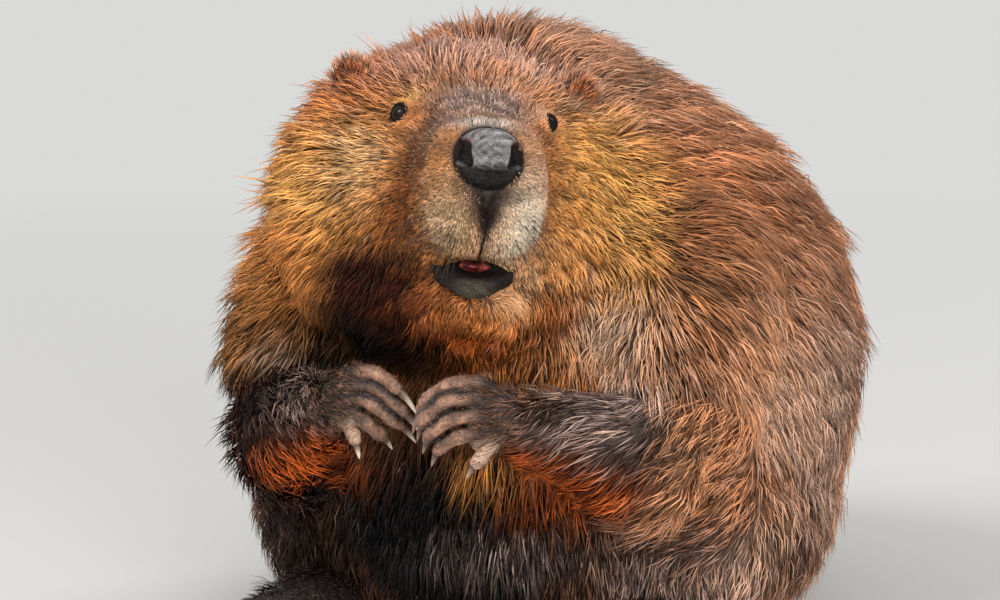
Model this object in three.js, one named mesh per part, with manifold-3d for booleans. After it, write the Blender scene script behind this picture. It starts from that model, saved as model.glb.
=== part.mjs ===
// A sitting beaver, life size, in millimetres: it faces -Y, +Z is up and +X is its own left side.
// The origin lies on the floor, on the flat of the rump. Every solid reaches out to the tips of the coat.

import * as THREE from 'three';
import { mergeVertices } from 'three/addons/utils/BufferGeometryUtils.js';
import Module from 'manifold-3d';

const wasm = await Module();
wasm.setup();

// Driving dimensions.
const SITTING_HEIGHT = 366;
const BODY_HALF_WIDTH = 190;
const RUMP_FLAT_DEPTH = 14; // how much of each rounded underside the floor takes off
const GAP = 0.3; // between neighbouring solids

const HEAD_PLACE = [18, -152, 319]; // midway between the eyes
const HEAD_YAW = THREE.MathUtils.degToRad(29.5); // turned to its own left
const HEAD_PITCH = THREE.MathUtils.degToRad(13); // nose raised
const HEAD_ROLL = THREE.MathUtils.degToRad(5); // its right eye the higher
const EYE_SPREAD = 40; // half the distance between the eyes
const EYE_RADIUS = 7.5;
const EAR_SPREAD = 66;
const EAR_RADIUS = 13;

const SHOULDER = [106, -50, 226];
const ELBOW = [134, -114, 118];
const WRIST = [56, -187, 157];
const DIGIT_RADIUS = 4.7;
const FORE_CLAW_LENGTHS = [15, 12, 12, 12, 8]; // the thumb's last

const HIP = [106, 50, 80];
const KNEE = [106, -110, 58];
const HEEL = [96, -40, 18];
const FOOT_LENGTH = 178;
const TOE_RADIUS = 6.5;
const HIND_CLAW_LENGTH = 15;

const TAIL_HALF_WIDTH = 66;

const COLOURS = {
  chestnut: 0x7a4526,
  golden: 0xa8682c,
  dark: 0x33221a,
  leather: 0x6b564a,
  nose: 0x55555a,
  scale: 0x34302e,
  claw: 0x8d7a6c,
  eye: 0x120a06,
  tongue: 0x8c3a3a,
};

const vector = (p) => new THREE.Vector3(...p);
const X = vector([1, 0, 0]);
const Y = vector([0, 1, 0]);
const Z = vector([0, 0, 1]);

// 0 at an end of the loft, rising as a quarter circle to 1 at the share `length` of it.
function roundEnd(t, length) {
  return t >= length ? 1 : Math.sqrt(Math.max(0, 1 - (1 - t / length) ** 2));
}

// The point of a superellipse of half sizes a and b at an angle; 2 is an ellipse and more is squarer.
function superellipse(turn, a, b, squareness) {
  const power = 2 / squareness;
  const c = Math.cos(turn);
  const s = Math.sin(turn);
  return [a * Math.sign(c) * Math.abs(c) ** power, b * Math.sign(s) * Math.abs(s) ** power];
}

// A closed body whose sections are carried along a path. Each station is { at, half: [a, b], square }.
// `axes` fixes the directions of a and b; without it b turns with the path and stays near `up`.
function loft(stations, { around = 24, along = 18, axes, up = Z, ends = [0.2, 0.2] } = {}) {
  const path = new THREE.CatmullRomCurve3(stations.map((s) => vector(s.at)), false, 'catmullrom', 0.5);
  const sizes = new THREE.CatmullRomCurve3(
    stations.map((s) => vector([...s.half, s.square ?? 2])), false, 'catmullrom', 0.5);
  const shell = new THREE.SphereGeometry(1, around, along);
  const places = shell.getAttribute('position');
  const point = new THREE.Vector3();
  for (let i = 0; i < places.count; i++) {
    point.fromBufferAttribute(places, i);
    const t = (1 - point.y) / 2;
    const centre = path.getPoint(t);
    const [a, b, squareness] = sizes.getPoint(t).toArray();
    const size = roundEnd(t, ends[0]) * roundEnd(1 - t, ends[1]);
    const onAxis = Math.abs(point.y) > 1 - 1e-9;
    const [p, q] = onAxis ? [0, 0] : superellipse(Math.atan2(point.z, point.x), a * size, b * size, squareness);
    const [side, rise] = axes ?? frameAlong(path, t, up);
    point.copy(centre).addScaledVector(side, p).addScaledVector(rise, q);
    places.setXYZ(i, ...point.toArray());
  }
  return closed(shell);
}

function frameAlong(path, t, up) {
  const ahead = path.getPoint(Math.min(1, t + 0.01)).sub(path.getPoint(Math.max(0, t - 0.01))).normalize();
  const side = new THREE.Vector3().crossVectors(ahead, up).normalize();
  return [side, new THREE.Vector3().crossVectors(side, ahead)];
}

// The geometry as one shell of shared vertices.
function closed(geometry) {
  const shell = geometry.clone();
  shell.deleteAttribute('normal');
  shell.deleteAttribute('uv');
  return mergeVertices(shell, 1e-4);
}

function solid(shell) {
  const vertProperties = new Float32Array(shell.getAttribute('position').array);
  const triVerts = new Uint32Array(shell.index.array);
  const made = new wasm.Manifold(new wasm.Mesh({ numProp: 3, vertProperties, triVerts }));
  if (made.volume() > 0) return made;
  for (let i = 0; i < triVerts.length; i += 3) {
    [triVerts[i], triVerts[i + 1]] = [triVerts[i + 1], triVerts[i]];
  }
  return new wasm.Manifold(new wasm.Mesh({ numProp: 3, vertProperties, triVerts }));
}

// A solid's surface as a three.js geometry.
function shellOf(made) {
  const mesh = made.getMesh();
  const places = new Float32Array(mesh.numVert * 3);
  for (let i = 0; i < mesh.numVert; i++) {
    places.set(mesh.vertProperties.subarray(i * mesh.numProp, i * mesh.numProp + 3), i * 3);
  }
  return new THREE.BufferGeometry()
    .setAttribute('position', new THREE.BufferAttribute(places, 3))
    .setIndex(new THREE.BufferAttribute(new Uint32Array(mesh.triVerts), 1));
}

// The solid with every vertex moved out along its normal by the gap.
function grown(made) {
  const shell = shellOf(made);
  shell.computeVertexNormals();
  const places = shell.getAttribute('position');
  const normals = shell.getAttribute('normal');
  for (let i = 0; i < places.count; i++) {
    places.setXYZ(i,
      places.getX(i) + GAP * normals.getX(i),
      places.getY(i) + GAP * normals.getY(i),
      places.getZ(i) + GAP * normals.getZ(i));
  }
  shell.deleteAttribute('normal');
  return solid(shell);
}

function largest(made) {
  return made.decompose().sort((a, b) => b.volume() - a.volume())[0];
}

const union = (solids) => solids.reduce((a, b) => a.add(b));
const placed = (made, matrix) => solid(shellOf(made).applyMatrix4(matrix));
const floorSlab = solid(closed(new THREE.BoxGeometry(1400, 1400, 200).translate(0, 0, -100)));

// Mirrors a point or a station from the animal's left side to its right.
const sided = (side, [x, y, z]) => [side * x, y, z];
const lerp = (p, q, t) => p.map((value, i) => value + (q[i] - value) * t);

function ball(centre, halves, around = 11, along = 7) {
  return solid(closed(new THREE.SphereGeometry(1, around, along).scale(...halves).translate(...centre)));
}

// ---- The trunk: horizontal sections from the floor to the hump behind the head.

function trunkSolid() {
  const W = BODY_HALF_WIDTH / 190;
  const H = SITTING_HEIGHT / 370;
  const stations = [
    [-RUMP_FLAT_DEPTH, 0, 44, 120, 132],
    [22, 0, 36, 148, 166],
    [72, 0, 30, 170, 184],
    [130, 0, 28, 182, 184],
    [190, 0, 30, 184, 166],
    [245, -1, 32, 168, 140],
    [292, -6, 24, 140, 112],
    [322, -14, 12, 107, 90],
    [344, -20, 2, 76, 70],
    [360, -22, -6, 46, 48],
    [370, -22, -10, 22, 26],
  ].map(([z, x, y, a, b]) => ({ at: [x, y, z * H], half: [a * W, b], square: 2.1 }));
  return solid(loft(stations, { around: 26, along: 14, axes: [X, Y], ends: [0.06, 0.08] })).subtract(floorSlab);
}

// ---- The head, in its own frame: the origin lies midway between the eyes, -Y is ahead and +Z is up.

function headStation([y, top, bottom, a, square]) {
  return { at: [0, y, (top + bottom) / 2], half: [a, (top - bottom) / 2], square };
}

function headSolid() {
  const stations = [
    [-75, -14, -70, 24, 2.4],
    [-64, -6, -82, 33, 2.5],
    [-48, 0, -84, 37, 2.5],
    [-26, 8, -94, 42, 2.5],
    [-4, 18, -114, 54, 2.5],
    [20, 33, -132, 88, 2.3],
    [44, 46, -141, 107, 2.1],
    [72, 58, -142, 113, 1.95],
    [98, 62, -138, 108, 1.85],
    [122, 57, -126, 90, 1.85],
  ].map(headStation);
  return solid(loft(stations, { around: 17, along: 12, axes: [X, Z], ends: [0.1, 0.14] }));
}

function lowerJawSolid() {
  const stations = [
    [-54, -103, -112, 11, 2.2],
    [-44, -97, -119, 22, 2.2],
    [-26, -90, -126, 33, 2.2],
    [-2, -90, -134, 45, 2.2],
  ].map(headStation);
  return solid(loft(stations, { around: 14, along: 8, axes: [X, Z], ends: [0.25, 0.2] }));
}

function noseSolid() {
  const stations = [
    [-81, -17, -39, 12, 2.4],
    [-76, -12.5, -43.5, 17, 2.6],
    [-67, -10.5, -45.5, 18.5, 2.6],
    [-58, -10.5, -44, 18, 2.4],
  ].map(headStation);
  return solid(loft(stations, { around: 12, along: 7, axes: [X, Z], ends: [0.3, 0.2] }));
}

function tongueSolid() {
  const stations = [
    { at: [0, -56, -86], half: [7, 2.4] },
    { at: [0, -48, -86], half: [9, 3] },
    { at: [0, -34, -86], half: [9, 3.4] },
  ];
  return solid(loft(stations, { around: 10, along: 6, axes: [X, Z], ends: [0.4, 0.3] }));
}

// The bare dark lip that runs round the front of the jaw from corner to corner of the open mouth.
function lowerLipSolid() {
  const stations = [
    { at: [-22.5, -33, -86.5], half: [2.6, 2.6] },
    { at: [-19, -47, -92], half: [4, 5] },
    { at: [0, -58, -99.5], half: [4.8, 7] },
    { at: [19, -47, -92], half: [4, 5] },
    { at: [22.5, -33, -86.5], half: [2.6, 2.6] },
  ];
  return solid(loft(stations, { around: 7, along: 10, ends: [0.15, 0.15] }));
}

const eyeSolid = (side) => ball([side * EYE_SPREAD, 0, 0], [EYE_RADIUS, EYE_RADIUS, EYE_RADIUS]);

// A shallow round cup that lies back on the side of the crown.
function earSolid(side) {
  const cup = ball([0, 0, 0], [EAR_RADIUS, 5.5, EAR_RADIUS + 2])
    .subtract(ball([-2 * side, -7, 1], [EAR_RADIUS - 4, 6.5, EAR_RADIUS - 3]));
  const turn = new THREE.Matrix4().makeRotationFromEuler(new THREE.Euler(-0.35, side * 0.5, side * 0.55));
  const place = new THREE.Matrix4().makeTranslation(side * EAR_SPREAD, 52, 25);
  return placed(cup, place.multiply(turn));
}

// ---- Fore limbs: the elbows stand out at the sides and the two paws meet in front of the chest.

function upperArmSolid(side) {
  const stations = [
    { at: sided(side, [90, -24, 246]), half: [46, 50] },
    { at: sided(side, SHOULDER), half: [58, 60] },
    { at: sided(side, lerp(SHOULDER, ELBOW, 0.55)), half: [52, 58] },
    { at: sided(side, ELBOW), half: [40, 46] },
  ];
  return solid(loft(stations, { around: 14, along: 9, up: Y, ends: [0.3, 0.3] }));
}

function forearmSolid(side) {
  const stations = [
    { at: sided(side, [140, -104, 116]), half: [36, 44] },
    { at: sided(side, lerp(ELBOW, WRIST, 0.2)), half: [35, 45] },
    { at: sided(side, lerp(ELBOW, WRIST, 0.6)), half: [28, 36] },
    { at: sided(side, WRIST), half: [17, 21] },
    { at: sided(side, lerp(ELBOW, WRIST, 1.06)), half: [15, 17] },
  ];
  return solid(loft(stations, { around: 14, along: 9, ends: [0.25, 0.12] }));
}

// The joints of the five fore digits, from inside the palm to the tip, as steps from the wrist: the thumb
// last. The right paw reaches out along the left one, whose digits curl back towards the palm.
const RIGHT_DIGITS = [
  [[-4, 1, 9], [-14, 0, 19], [-27, -1, 20], [-38, -2, 15], [-45, -3, 10]],
  [[-5, 1, 5], [-15, 0, 12], [-28, -1, 11], [-38, 0, 4], [-46, 3, -4]],
  [[-5, 0, 1], [-15, -1, 5], [-27, -2, 2], [-35, 1, -5], [-41, 8, -12]],
  [[-5, 0, -2], [-13, -2, -3], [-22, -3, -8], [-27, 3, -15], [-28, 10, -19]],
  [[-3, 1, -3], [-9, -1, -10], [-14, -2, -16], [-16, -2, -22]],
];
const LEFT_DIGITS = [
  [[-6, -1, 9], [-15, -10, 20], [-30, -18, 20], [-44, -19, 11], [-51, -14, 2]],
  [[-6, -2, 4], [-16, -13, 12], [-31, -21, 11], [-44, -22, 1], [-50, -15, -6]],
  [[-6, -3, 0], [-15, -14, 3], [-29, -21, 1], [-41, -21, -8], [-47, -14, -14]],
  [[-5, -3, -4], [-13, -13, -6], [-25, -19, -9], [-36, -18, -15], [-42, -12, -21]],
  [[-4, -3, -7], [-9, -8, -14], [-15, -13, -22], [-19, -14, -27]],
];

function foreDigit(side, i) {
  const steps = (side < 0 ? RIGHT_DIGITS : LEFT_DIGITS)[i];
  return steps.map((step) => sided(side, step.map((value, k) => WRIST[k] + value)));
}

const SPREADS = [-2, -1, 0, 1, 2];

const RIGHT_PALM = [[-6, 0, 1, 11, 16], [-13, -1, 2, 9, 17], [-19, -2, 2, 6, 15]];
const LEFT_PALM = [[-8, -5, 0, 11, 17], [-17, -11, 0, 9, 18], [-24, -15, 0, 6, 16]];

function forepawSolid(side) {
  const palm = solid(loft([
    { at: sided(side, lerp(WRIST, ELBOW, 0.04)), half: [13, 15] },
    ...(side < 0 ? RIGHT_PALM : LEFT_PALM).map(([x, y, z, a, b]) => (
      { at: sided(side, [WRIST[0] + x, WRIST[1] + y, WRIST[2] + z]), half: [a, b] })),
  ], { around: 9, along: 5, ends: [0.2, 0.3] }));
  const digits = SPREADS.map((_, finger) => {
    const stations = foreDigit(side, finger).map((at, i) => {
      const r = DIGIT_RADIUS * (1.05 - 0.06 * i);
      return { at, half: [r, r] };
    });
    return solid(loft(stations, { around: 5, along: 5, ends: [0.1, 0.2] }));
  });
  return union([palm, ...digits]);
}

// A curved horn from the last joint of a digit, `length` long, bending down.
function clawSolid(joints, length, radius) {
  const [before, tip] = joints.slice(-2).map(vector);
  const ahead = tip.clone().sub(before).normalize();
  const root = tip.clone().addScaledVector(ahead, -2);
  const stations = [0, 0.35, 0.7, 1].map((t) => {
    const at = root.clone().addScaledVector(ahead, length * t).addScaledVector(Z, -length * 0.3 * t * t);
    const r = radius * (1 - 0.72 * t);
    return { at: at.toArray(), half: [r, r * 1.15] };
  });
  return solid(loft(stations, { around: 6, along: 4, ends: [0.1, 0.3] }));
}

// ---- Hind limbs: the thigh lies against the flank and the webbed foot is flat on the floor.

function thighSolid(side) {
  const stations = [
    { at: sided(side, [88, 110, 78]), half: [50, 58] },
    { at: sided(side, HIP), half: [68, 76] },
    { at: sided(side, [122, -34, 74]), half: [56, 70] },
    { at: sided(side, KNEE), half: [42, 52] },
  ];
  return solid(loft(stations, { around: 18, along: 11, ends: [0.3, 0.3] })).subtract(floorSlab);
}

// The three joints of one hind toe; the middle toes reach furthest.
function hindToe(side, spread) {
  const turn = THREE.MathUtils.degToRad(10 + spread * 11);
  const reach = (FOOT_LENGTH - 96) * (1 - 0.06 * spread * spread + 0.03 * spread);
  const root = [HEEL[0] + 14 + spread * 9, HEEL[1] - 92, 11];
  const along = (share, z) => [
    root[0] + Math.sin(turn) * reach * share, root[1] - Math.cos(turn) * reach * share, z];
  return [root, along(0.5, 9), along(1, 5.5)].map((p) => sided(side, p));
}

function hindFootSolid(side) {
  const instep = solid(loft([
    { at: sided(side, HEEL), half: [24, 20] },
    { at: sided(side, [HEEL[0] + 5, HEEL[1] - 45, 17]), half: [29, 20] },
    { at: sided(side, [HEEL[0] + 12, HEEL[1] - 90, 14]), half: [35, 17] },
    { at: sided(side, [HEEL[0] + 16, HEEL[1] - 112, 9]), half: [37, 11] },
  ], { around: 10, along: 5, ends: [0.25, 0.2] }));
  const toes = SPREADS.map((spread) => {
    const stations = hindToe(side, spread).map((at, i) => {
      const r = TOE_RADIUS * (1.25 - 0.2 * i);
      return { at, half: [r, r] };
    });
    return solid(loft(stations, { around: 5, along: 3, ends: [0.15, 0.25] }));
  });
  return union([instep, webSolid(side), ...toes]).subtract(floorSlab);
}

// The web: a thin plate whose edge runs from toe to toe in shallow bays.
function webSolid(side) {
  const toes = SPREADS.map((spread) => hindToe(side, spread));
  const outline = new THREE.Shape();
  const [first, last] = [toes[0], toes[4]];
  outline.moveTo(first[0][0], first[0][1]);
  outline.lineTo(first[2][0], first[2][1]);
  for (let i = 1; i < toes.length; i++) {
    const [p, q] = [toes[i - 1][2], toes[i][2]];
    const bay = lerp(lerp(p, q, 0.5), lerp(toes[i - 1][1], toes[i][1], 0.5), 0.35);
    outline.quadraticCurveTo(bay[0], bay[1], q[0], q[1]);
  }
  outline.lineTo(last[0][0], last[0][1]);
  outline.closePath();
  const plate = new THREE.ExtrudeGeometry(outline, { depth: 4, bevelEnabled: false, curveSegments: 2 });
  return solid(closed(plate));
}

// ---- The tail: a broad flat paddle lying on the floor, bent a little to the animal's right.

function tailSolid() {
  const stations = [
    { at: [0, 150, 30], half: [44, 34] },
    { at: [-4, 206, 22], half: [40, 24] },
    { at: [-14, 256, 12], half: [52, 14] },
    { at: [-34, 330, 9], half: [TAIL_HALF_WIDTH, 11] },
    { at: [-62, 400, 8], half: [TAIL_HALF_WIDTH * 0.97, 9.5] },
    { at: [-92, 462, 6], half: [TAIL_HALF_WIDTH * 0.72, 7.5] },
  ];
  return solid(loft(stations, { around: 14, along: 10, ends: [0.1, 0.3] })).subtract(floorSlab);
}

function neckSolid() {
  const stations = [
    { at: [-12, -104, 252], half: [100, 84] },
    { at: [-14, -84, 250], half: [114, 98] },
    { at: [-12, -56, 244], half: [128, 106] },
    { at: [-8, -14, 228], half: [136, 108] },
  ];
  return solid(loft(stations, { around: 18, along: 8, ends: [0.3, 0.2] }));
}

// ---- Assembly: each solid is cut back from the ones set before it, so that none overlap.

const beaver = new THREE.Group();
const headGroup = new THREE.Group();
headGroup.position.set(...HEAD_PLACE);
headGroup.rotation.set(-HEAD_PITCH, HEAD_ROLL, HEAD_YAW, 'ZYX');
beaver.add(headGroup);
beaver.updateMatrixWorld(true);

const cutters = []; // every solid set so far, whole and grown by the gap, in the part's frame

function add(group, name, colour, made) {
  const inward = group.matrixWorld.clone().invert();
  const bounds = placed(made, group.matrixWorld).boundingBox();
  let left = made;
  for (const cutter of cutters) {
    if (meet(bounds, cutter.box)) left = left.subtract(placed(cutter.solid, inward));
  }
  left = largest(left);
  const shell = shellOf(left);
  shell.computeVertexNormals();
  const finish = new THREE.MeshStandardMaterial({ color: colour, roughness: 0.7, metalness: 0 });
  const mesh = new THREE.Mesh(shell, finish);
  mesh.name = name;
  group.add(mesh);
  const world = placed(grown(made), group.matrixWorld);
  cutters.push({ solid: world, box: world.boundingBox() });
}

function meet(a, b) {
  return [0, 1, 2].every((i) => a.min[i] <= b.max[i] && b.min[i] <= a.max[i]);
}

const SIDES = [['left', 1], ['right', -1]];

for (const [name, side] of SIDES) {
  add(headGroup, `eye_${name}`, COLOURS.eye, eyeSolid(side));
  add(headGroup, `ear_${name}`, COLOURS.dark, earSolid(side));
}
add(headGroup, 'nose', COLOURS.nose, noseSolid());
add(headGroup, 'tongue', COLOURS.tongue, tongueSolid());
add(headGroup, 'lower_lip', COLOURS.dark, lowerLipSolid());
add(beaver, 'trunk', COLOURS.chestnut, trunkSolid());
add(beaver, 'tail', COLOURS.scale, tailSolid());
add(beaver, 'neck', COLOURS.golden, neckSolid());
add(headGroup, 'lower_jaw', COLOURS.golden, lowerJawSolid());
add(headGroup, 'head', COLOURS.golden, headSolid());

for (const [name, side] of SIDES) {
  add(beaver, `upper_arm_${name}`, COLOURS.chestnut, upperArmSolid(side));
  add(beaver, `forearm_${name}`, COLOURS.dark, forearmSolid(side));
  add(beaver, `thigh_${name}`, COLOURS.dark, thighSolid(side));
  SPREADS.forEach((spread, i) => {
    const foreClaw = clawSolid(foreDigit(side, i), FORE_CLAW_LENGTHS[i], 2.5);
    add(beaver, `fore_claw_${name}_${i + 1}`, COLOURS.claw, foreClaw);
    const hindClaw = clawSolid(hindToe(side, spread), HIND_CLAW_LENGTH, 3.4).subtract(floorSlab);
    add(beaver, `hind_claw_${name}_${i + 1}`, COLOURS.claw, hindClaw);
  });
  add(beaver, `forepaw_${name}`, COLOURS.leather, forepawSolid(side));
  add(beaver, `hind_foot_${name}`, COLOURS.leather, hindFootSolid(side));
}

export default beaver;
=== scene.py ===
"""The looks of a sitting beaver: one skin under a coat of tufts, with its bare nose, mouth, paws and tail.

Metres, in the frame's axes: the beaver faces -Y, +Z is up and +X is its own left. Places on the animal are
written in millimetres, as arrays of points, and become metres when a mesh is made.
"""

from dataclasses import dataclass

import bmesh
import bpy
import numpy as np
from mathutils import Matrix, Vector


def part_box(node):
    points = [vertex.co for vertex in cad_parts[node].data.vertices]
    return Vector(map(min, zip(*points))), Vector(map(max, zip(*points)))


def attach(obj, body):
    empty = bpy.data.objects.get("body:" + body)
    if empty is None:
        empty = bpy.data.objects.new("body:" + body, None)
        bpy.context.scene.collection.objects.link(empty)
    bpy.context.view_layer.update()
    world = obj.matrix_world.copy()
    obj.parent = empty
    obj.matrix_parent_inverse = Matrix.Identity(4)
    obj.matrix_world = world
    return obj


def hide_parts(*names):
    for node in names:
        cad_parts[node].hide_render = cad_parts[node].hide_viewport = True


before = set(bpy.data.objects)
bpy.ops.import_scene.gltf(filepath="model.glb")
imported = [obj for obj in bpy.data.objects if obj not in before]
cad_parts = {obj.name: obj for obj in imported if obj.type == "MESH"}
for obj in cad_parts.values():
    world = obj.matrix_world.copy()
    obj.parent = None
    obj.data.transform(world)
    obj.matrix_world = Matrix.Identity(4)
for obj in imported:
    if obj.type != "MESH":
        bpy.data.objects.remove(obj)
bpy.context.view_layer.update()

MM = 0.001
SIDES = (("left", 1), ("right", -1))
SPREADS = (-2, -1, 0, 1, 2)

# Anatomy, in millimetres: the joints of the animal's left side, and the head's turn.
SHOULDER = np.array([106.0, -50, 226])
ELBOW = np.array([134.0, -114, 118])
WRIST = np.array([56.0, -187, 157])
HIP = np.array([106.0, 50, 80])
KNEE = np.array([106.0, -110, 58])
HEEL = np.array([96.0, -40, 18])
NAPE = np.array([-4.0, -104, 322])
HEAD_YAW = np.radians(29.5)
HEAD_PITCH = np.radians(13)
HEAD_ROLL = np.radians(5)
NOSE_TIP = (0, -74, -38)  # in the head's own frame, as is EAR_PLACE
EAR_PLACE = (66.0, 52, 25)
FOREARM_THICK = 46
THIGH_THICK = 74
LIMB_TAPER = 24  # how much slimmer a limb is at its far end
SLEEVE_REACH = 60  # how near to a forearm's line the coat follows the arm

# The coat: how deep the skin lies under the tips, at least and by the hairs' length, and the size of a clump.
UNDERFUR_DEPTH = 1.5
LAY_DEPTH = 0.4
CLUMP = 7.5

FLESH = (
    "trunk", "neck", "head", "lower_jaw",
    "upper_arm_left", "upper_arm_right", "forearm_left", "forearm_right", "thigh_left", "thigh_right",
)

rng = np.random.default_rng(20)


# ---- Points, curves and directions, as whole arrays.

def unit(vectors):
    """Each row divided by its own length."""
    return vectors / np.maximum(np.linalg.norm(vectors, axis=-1, keepdims=True), 1e-9)


def step(low, high, x):
    """0 up to low, 1 from high on, and 3t^2 - 2t^3 of the share t between them; low may be the greater."""
    t = np.clip((x - low) / (high - low), 0, 1)
    return t * t * (3 - 2 * t)


def bell(points, centre, radii):
    """1 at the centre of an ellipsoid, falling as exp(-d^2), where d is 1 on its surface."""
    offset = (points - np.asarray(centre, float)) / np.asarray(radii, float)
    return np.exp(-(offset**2).sum(-1))


def through(values, shares):
    """The uniform Catmull-Rom curve through the rows of values, at shares 0 to 1 of the way."""
    values = np.asarray(values, float)
    padded = np.vstack([2 * values[0] - values[1], values, 2 * values[-1] - values[-2]])
    place = np.clip(shares, 0, 1) * (len(values) - 1)
    i = np.minimum(place.astype(int), len(values) - 2)
    f = (place - i)[:, None]
    p0, p1, p2, p3 = (padded[i + k] for k in range(4))
    return 0.5 * (2 * p1 + (p2 - p0) * f + (2 * p0 - 5 * p1 + 4 * p2 - p3) * f**2
                  + (3 * p1 - p0 - 3 * p2 + p3) * f**3)


def ripple(points, size, seed):
    """Smooth noise from about -1 to 1: the mean of eight sine waves of about the given wavelength."""
    dice = np.random.default_rng(seed)
    waves = unit(dice.normal(size=(8, 3))) * (2 * np.pi / size) * dice.uniform(0.6, 1.6, (8, 1))
    return np.sin(points @ waves.T + dice.uniform(0, 2 * np.pi, 8)).sum(1) / 3.2


def wander(points, size, seed):
    """A wandering direction: ripples of one wavelength in x, y and z."""
    return np.column_stack([ripple(points, size, seed + k) for k in range(3)])


def mixed(first, second, share):
    """The first number or colour turned towards the second by a share from 0 to 1."""
    return np.asarray(first) * (1 - share) + np.asarray(second) * share


def even(value):
    """A function of points that gives the same number or colour everywhere."""
    value = np.asarray(value, float)
    return lambda points: np.broadcast_to(value, (len(points), *value.shape))


def laid(flow, normals):
    """Each direction pressed along the surface, with a length of 1."""
    return unit(flow - (flow * normals).sum(1, keepdims=True) * normals)


def one_way(direction, size, seed):
    """A lie of hairs that keeps to one direction along the skin and wavers by a fifth."""
    return lambda points, normals: laid(np.asarray(direction) + 0.2 * wander(points, size, seed), normals)


def sphere_grid(polar, count):
    """The unit sphere as a grid: a row at each polar angle from +Z, with a count of points around it."""
    polar = polar[:, None]
    around = np.linspace(0, 2 * np.pi, count, endpoint=False)[None]
    return np.stack([np.sin(polar) * np.cos(around), np.sin(polar) * np.sin(around),
                     np.cos(polar) + 0 * around], -1)


def along(points, start, end):
    """How far along the line from start to end each point is, as a share, and its distance from the line."""
    axis = end - start
    share = np.clip((points - start) @ axis / (axis @ axis), -0.15, 1.15)
    return share, np.linalg.norm(points - (start + share[:, None] * axis), axis=1)


def mirrored(point, side):
    """The point on the animal's left (1) or right (-1)."""
    return np.asarray(point, float) * [side, 1, 1]


def bells(points, centre, radii):
    """The sum of a bell on the animal's left and its mirror image on the right."""
    return sum(bell(points, mirrored(centre, side), radii) for _, side in SIDES)


def turn(axis, angle):
    """The matrix that turns by an angle about the axis numbered 0, 1 or 2."""
    c, s = np.cos(angle), np.sin(angle)
    i, j = ((1, 2), (2, 0), (0, 1))[axis]
    matrix = np.eye(3)
    matrix[i, i], matrix[i, j], matrix[j, i], matrix[j, j] = c, -s, s, c
    return matrix


def middle(node):
    """The centre of a CAD node's box, in millimetres."""
    low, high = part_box(node)
    return (np.array(low) + np.array(high)) / 2 / MM


# The head's own frame: the origin lies midway between the eyes, -Y is ahead and +Z is up.
HEAD_TURN = turn(2, HEAD_YAW) @ turn(1, HEAD_ROLL) @ turn(0, -HEAD_PITCH)
HEAD_PLACE = (middle("eye_left") + middle("eye_right")) / 2


def from_head(points):
    """Points of the head's frame, in the beaver's."""
    return np.asarray(points, float) @ HEAD_TURN.T + HEAD_PLACE


def to_head(points):
    """Points of the beaver's frame, in the head's."""
    return (points - HEAD_PLACE) @ HEAD_TURN


# ---- Meshes.

def linked(name, mesh):
    """A new object of a mesh, in the scene."""
    piece = bpy.data.objects.new(name, mesh)
    bpy.context.scene.collection.objects.link(piece)
    return piece


def mesh_object(name, points, faces, material=None):
    """An object of points in millimetres and faces of one size, smooth, with its normals outwards."""
    mesh = bpy.data.meshes.new(name)
    faces = np.asarray(faces)
    mesh.vertices.add(len(points))
    mesh.vertices.foreach_set("co", (np.asarray(points) * MM).astype(np.float32).ravel())
    mesh.loops.add(faces.size)
    mesh.loops.foreach_set("vertex_index", faces.astype(np.int32).ravel())
    mesh.polygons.add(len(faces))
    mesh.polygons.foreach_set("loop_start", np.arange(0, faces.size, faces.shape[1], dtype=np.int32))
    mesh.polygons.foreach_set("use_smooth", np.ones(len(faces), bool))
    mesh.update(calc_edges=True)
    mesh.validate()
    if material is not None:
        mesh.materials.append(material)
    return linked(name, mesh)


def halved(quads):
    """Each four-sided face as two triangles."""
    return np.vstack([quads[:, [0, 1, 2]], quads[:, [0, 2, 3]]])


def shell(grid):
    """A grid of rows round an axis as one closed surface: each end row is drawn together into a pole."""
    rows, around = grid.shape[:2]
    points = np.vstack([grid[0].mean(0), grid[1:-1].reshape(-1, 3), grid[-1].mean(0)])
    row, col = np.meshgrid(np.arange(rows - 3), np.arange(around), indexing="ij")
    a, b = 1 + row * around + col, 1 + row * around + (col + 1) % around
    quads = np.stack([a, b, b + around, a + around], -1).reshape(-1, 4)
    ring, last = np.arange(around), len(points) - 1
    first_fan = np.stack([np.zeros(around, int), 1 + (ring + 1) % around, 1 + ring], -1)
    top = last - around
    last_fan = np.stack([np.full(around, last), top + ring, top + (ring + 1) % around], -1)
    return points, np.vstack([halved(quads), first_fan, last_fan])


def ring_shell(grid):
    """A grid that closes on itself both ways, as a ring."""
    rows, around = grid.shape[:2]
    row, col = np.meshgrid(np.arange(rows), np.arange(around), indexing="ij")
    a, b = row * around + col, row * around + (col + 1) % around
    c, d = ((row + 1) % rows) * around + (col + 1) % around, ((row + 1) % rows) * around + col
    return grid.reshape(-1, 3), halved(np.stack([a, b, c, d], -1).reshape(-1, 4))


def outward(points, faces):
    """The same shell with its faces turned, if it encloses a negative volume, so that they point outwards."""
    a, b, c = (points[faces[:, k]] for k in range(3))
    volume = (a * np.cross(b, c)).sum()
    return points, faces if volume > 0 else faces[:, ::-1]


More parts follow.
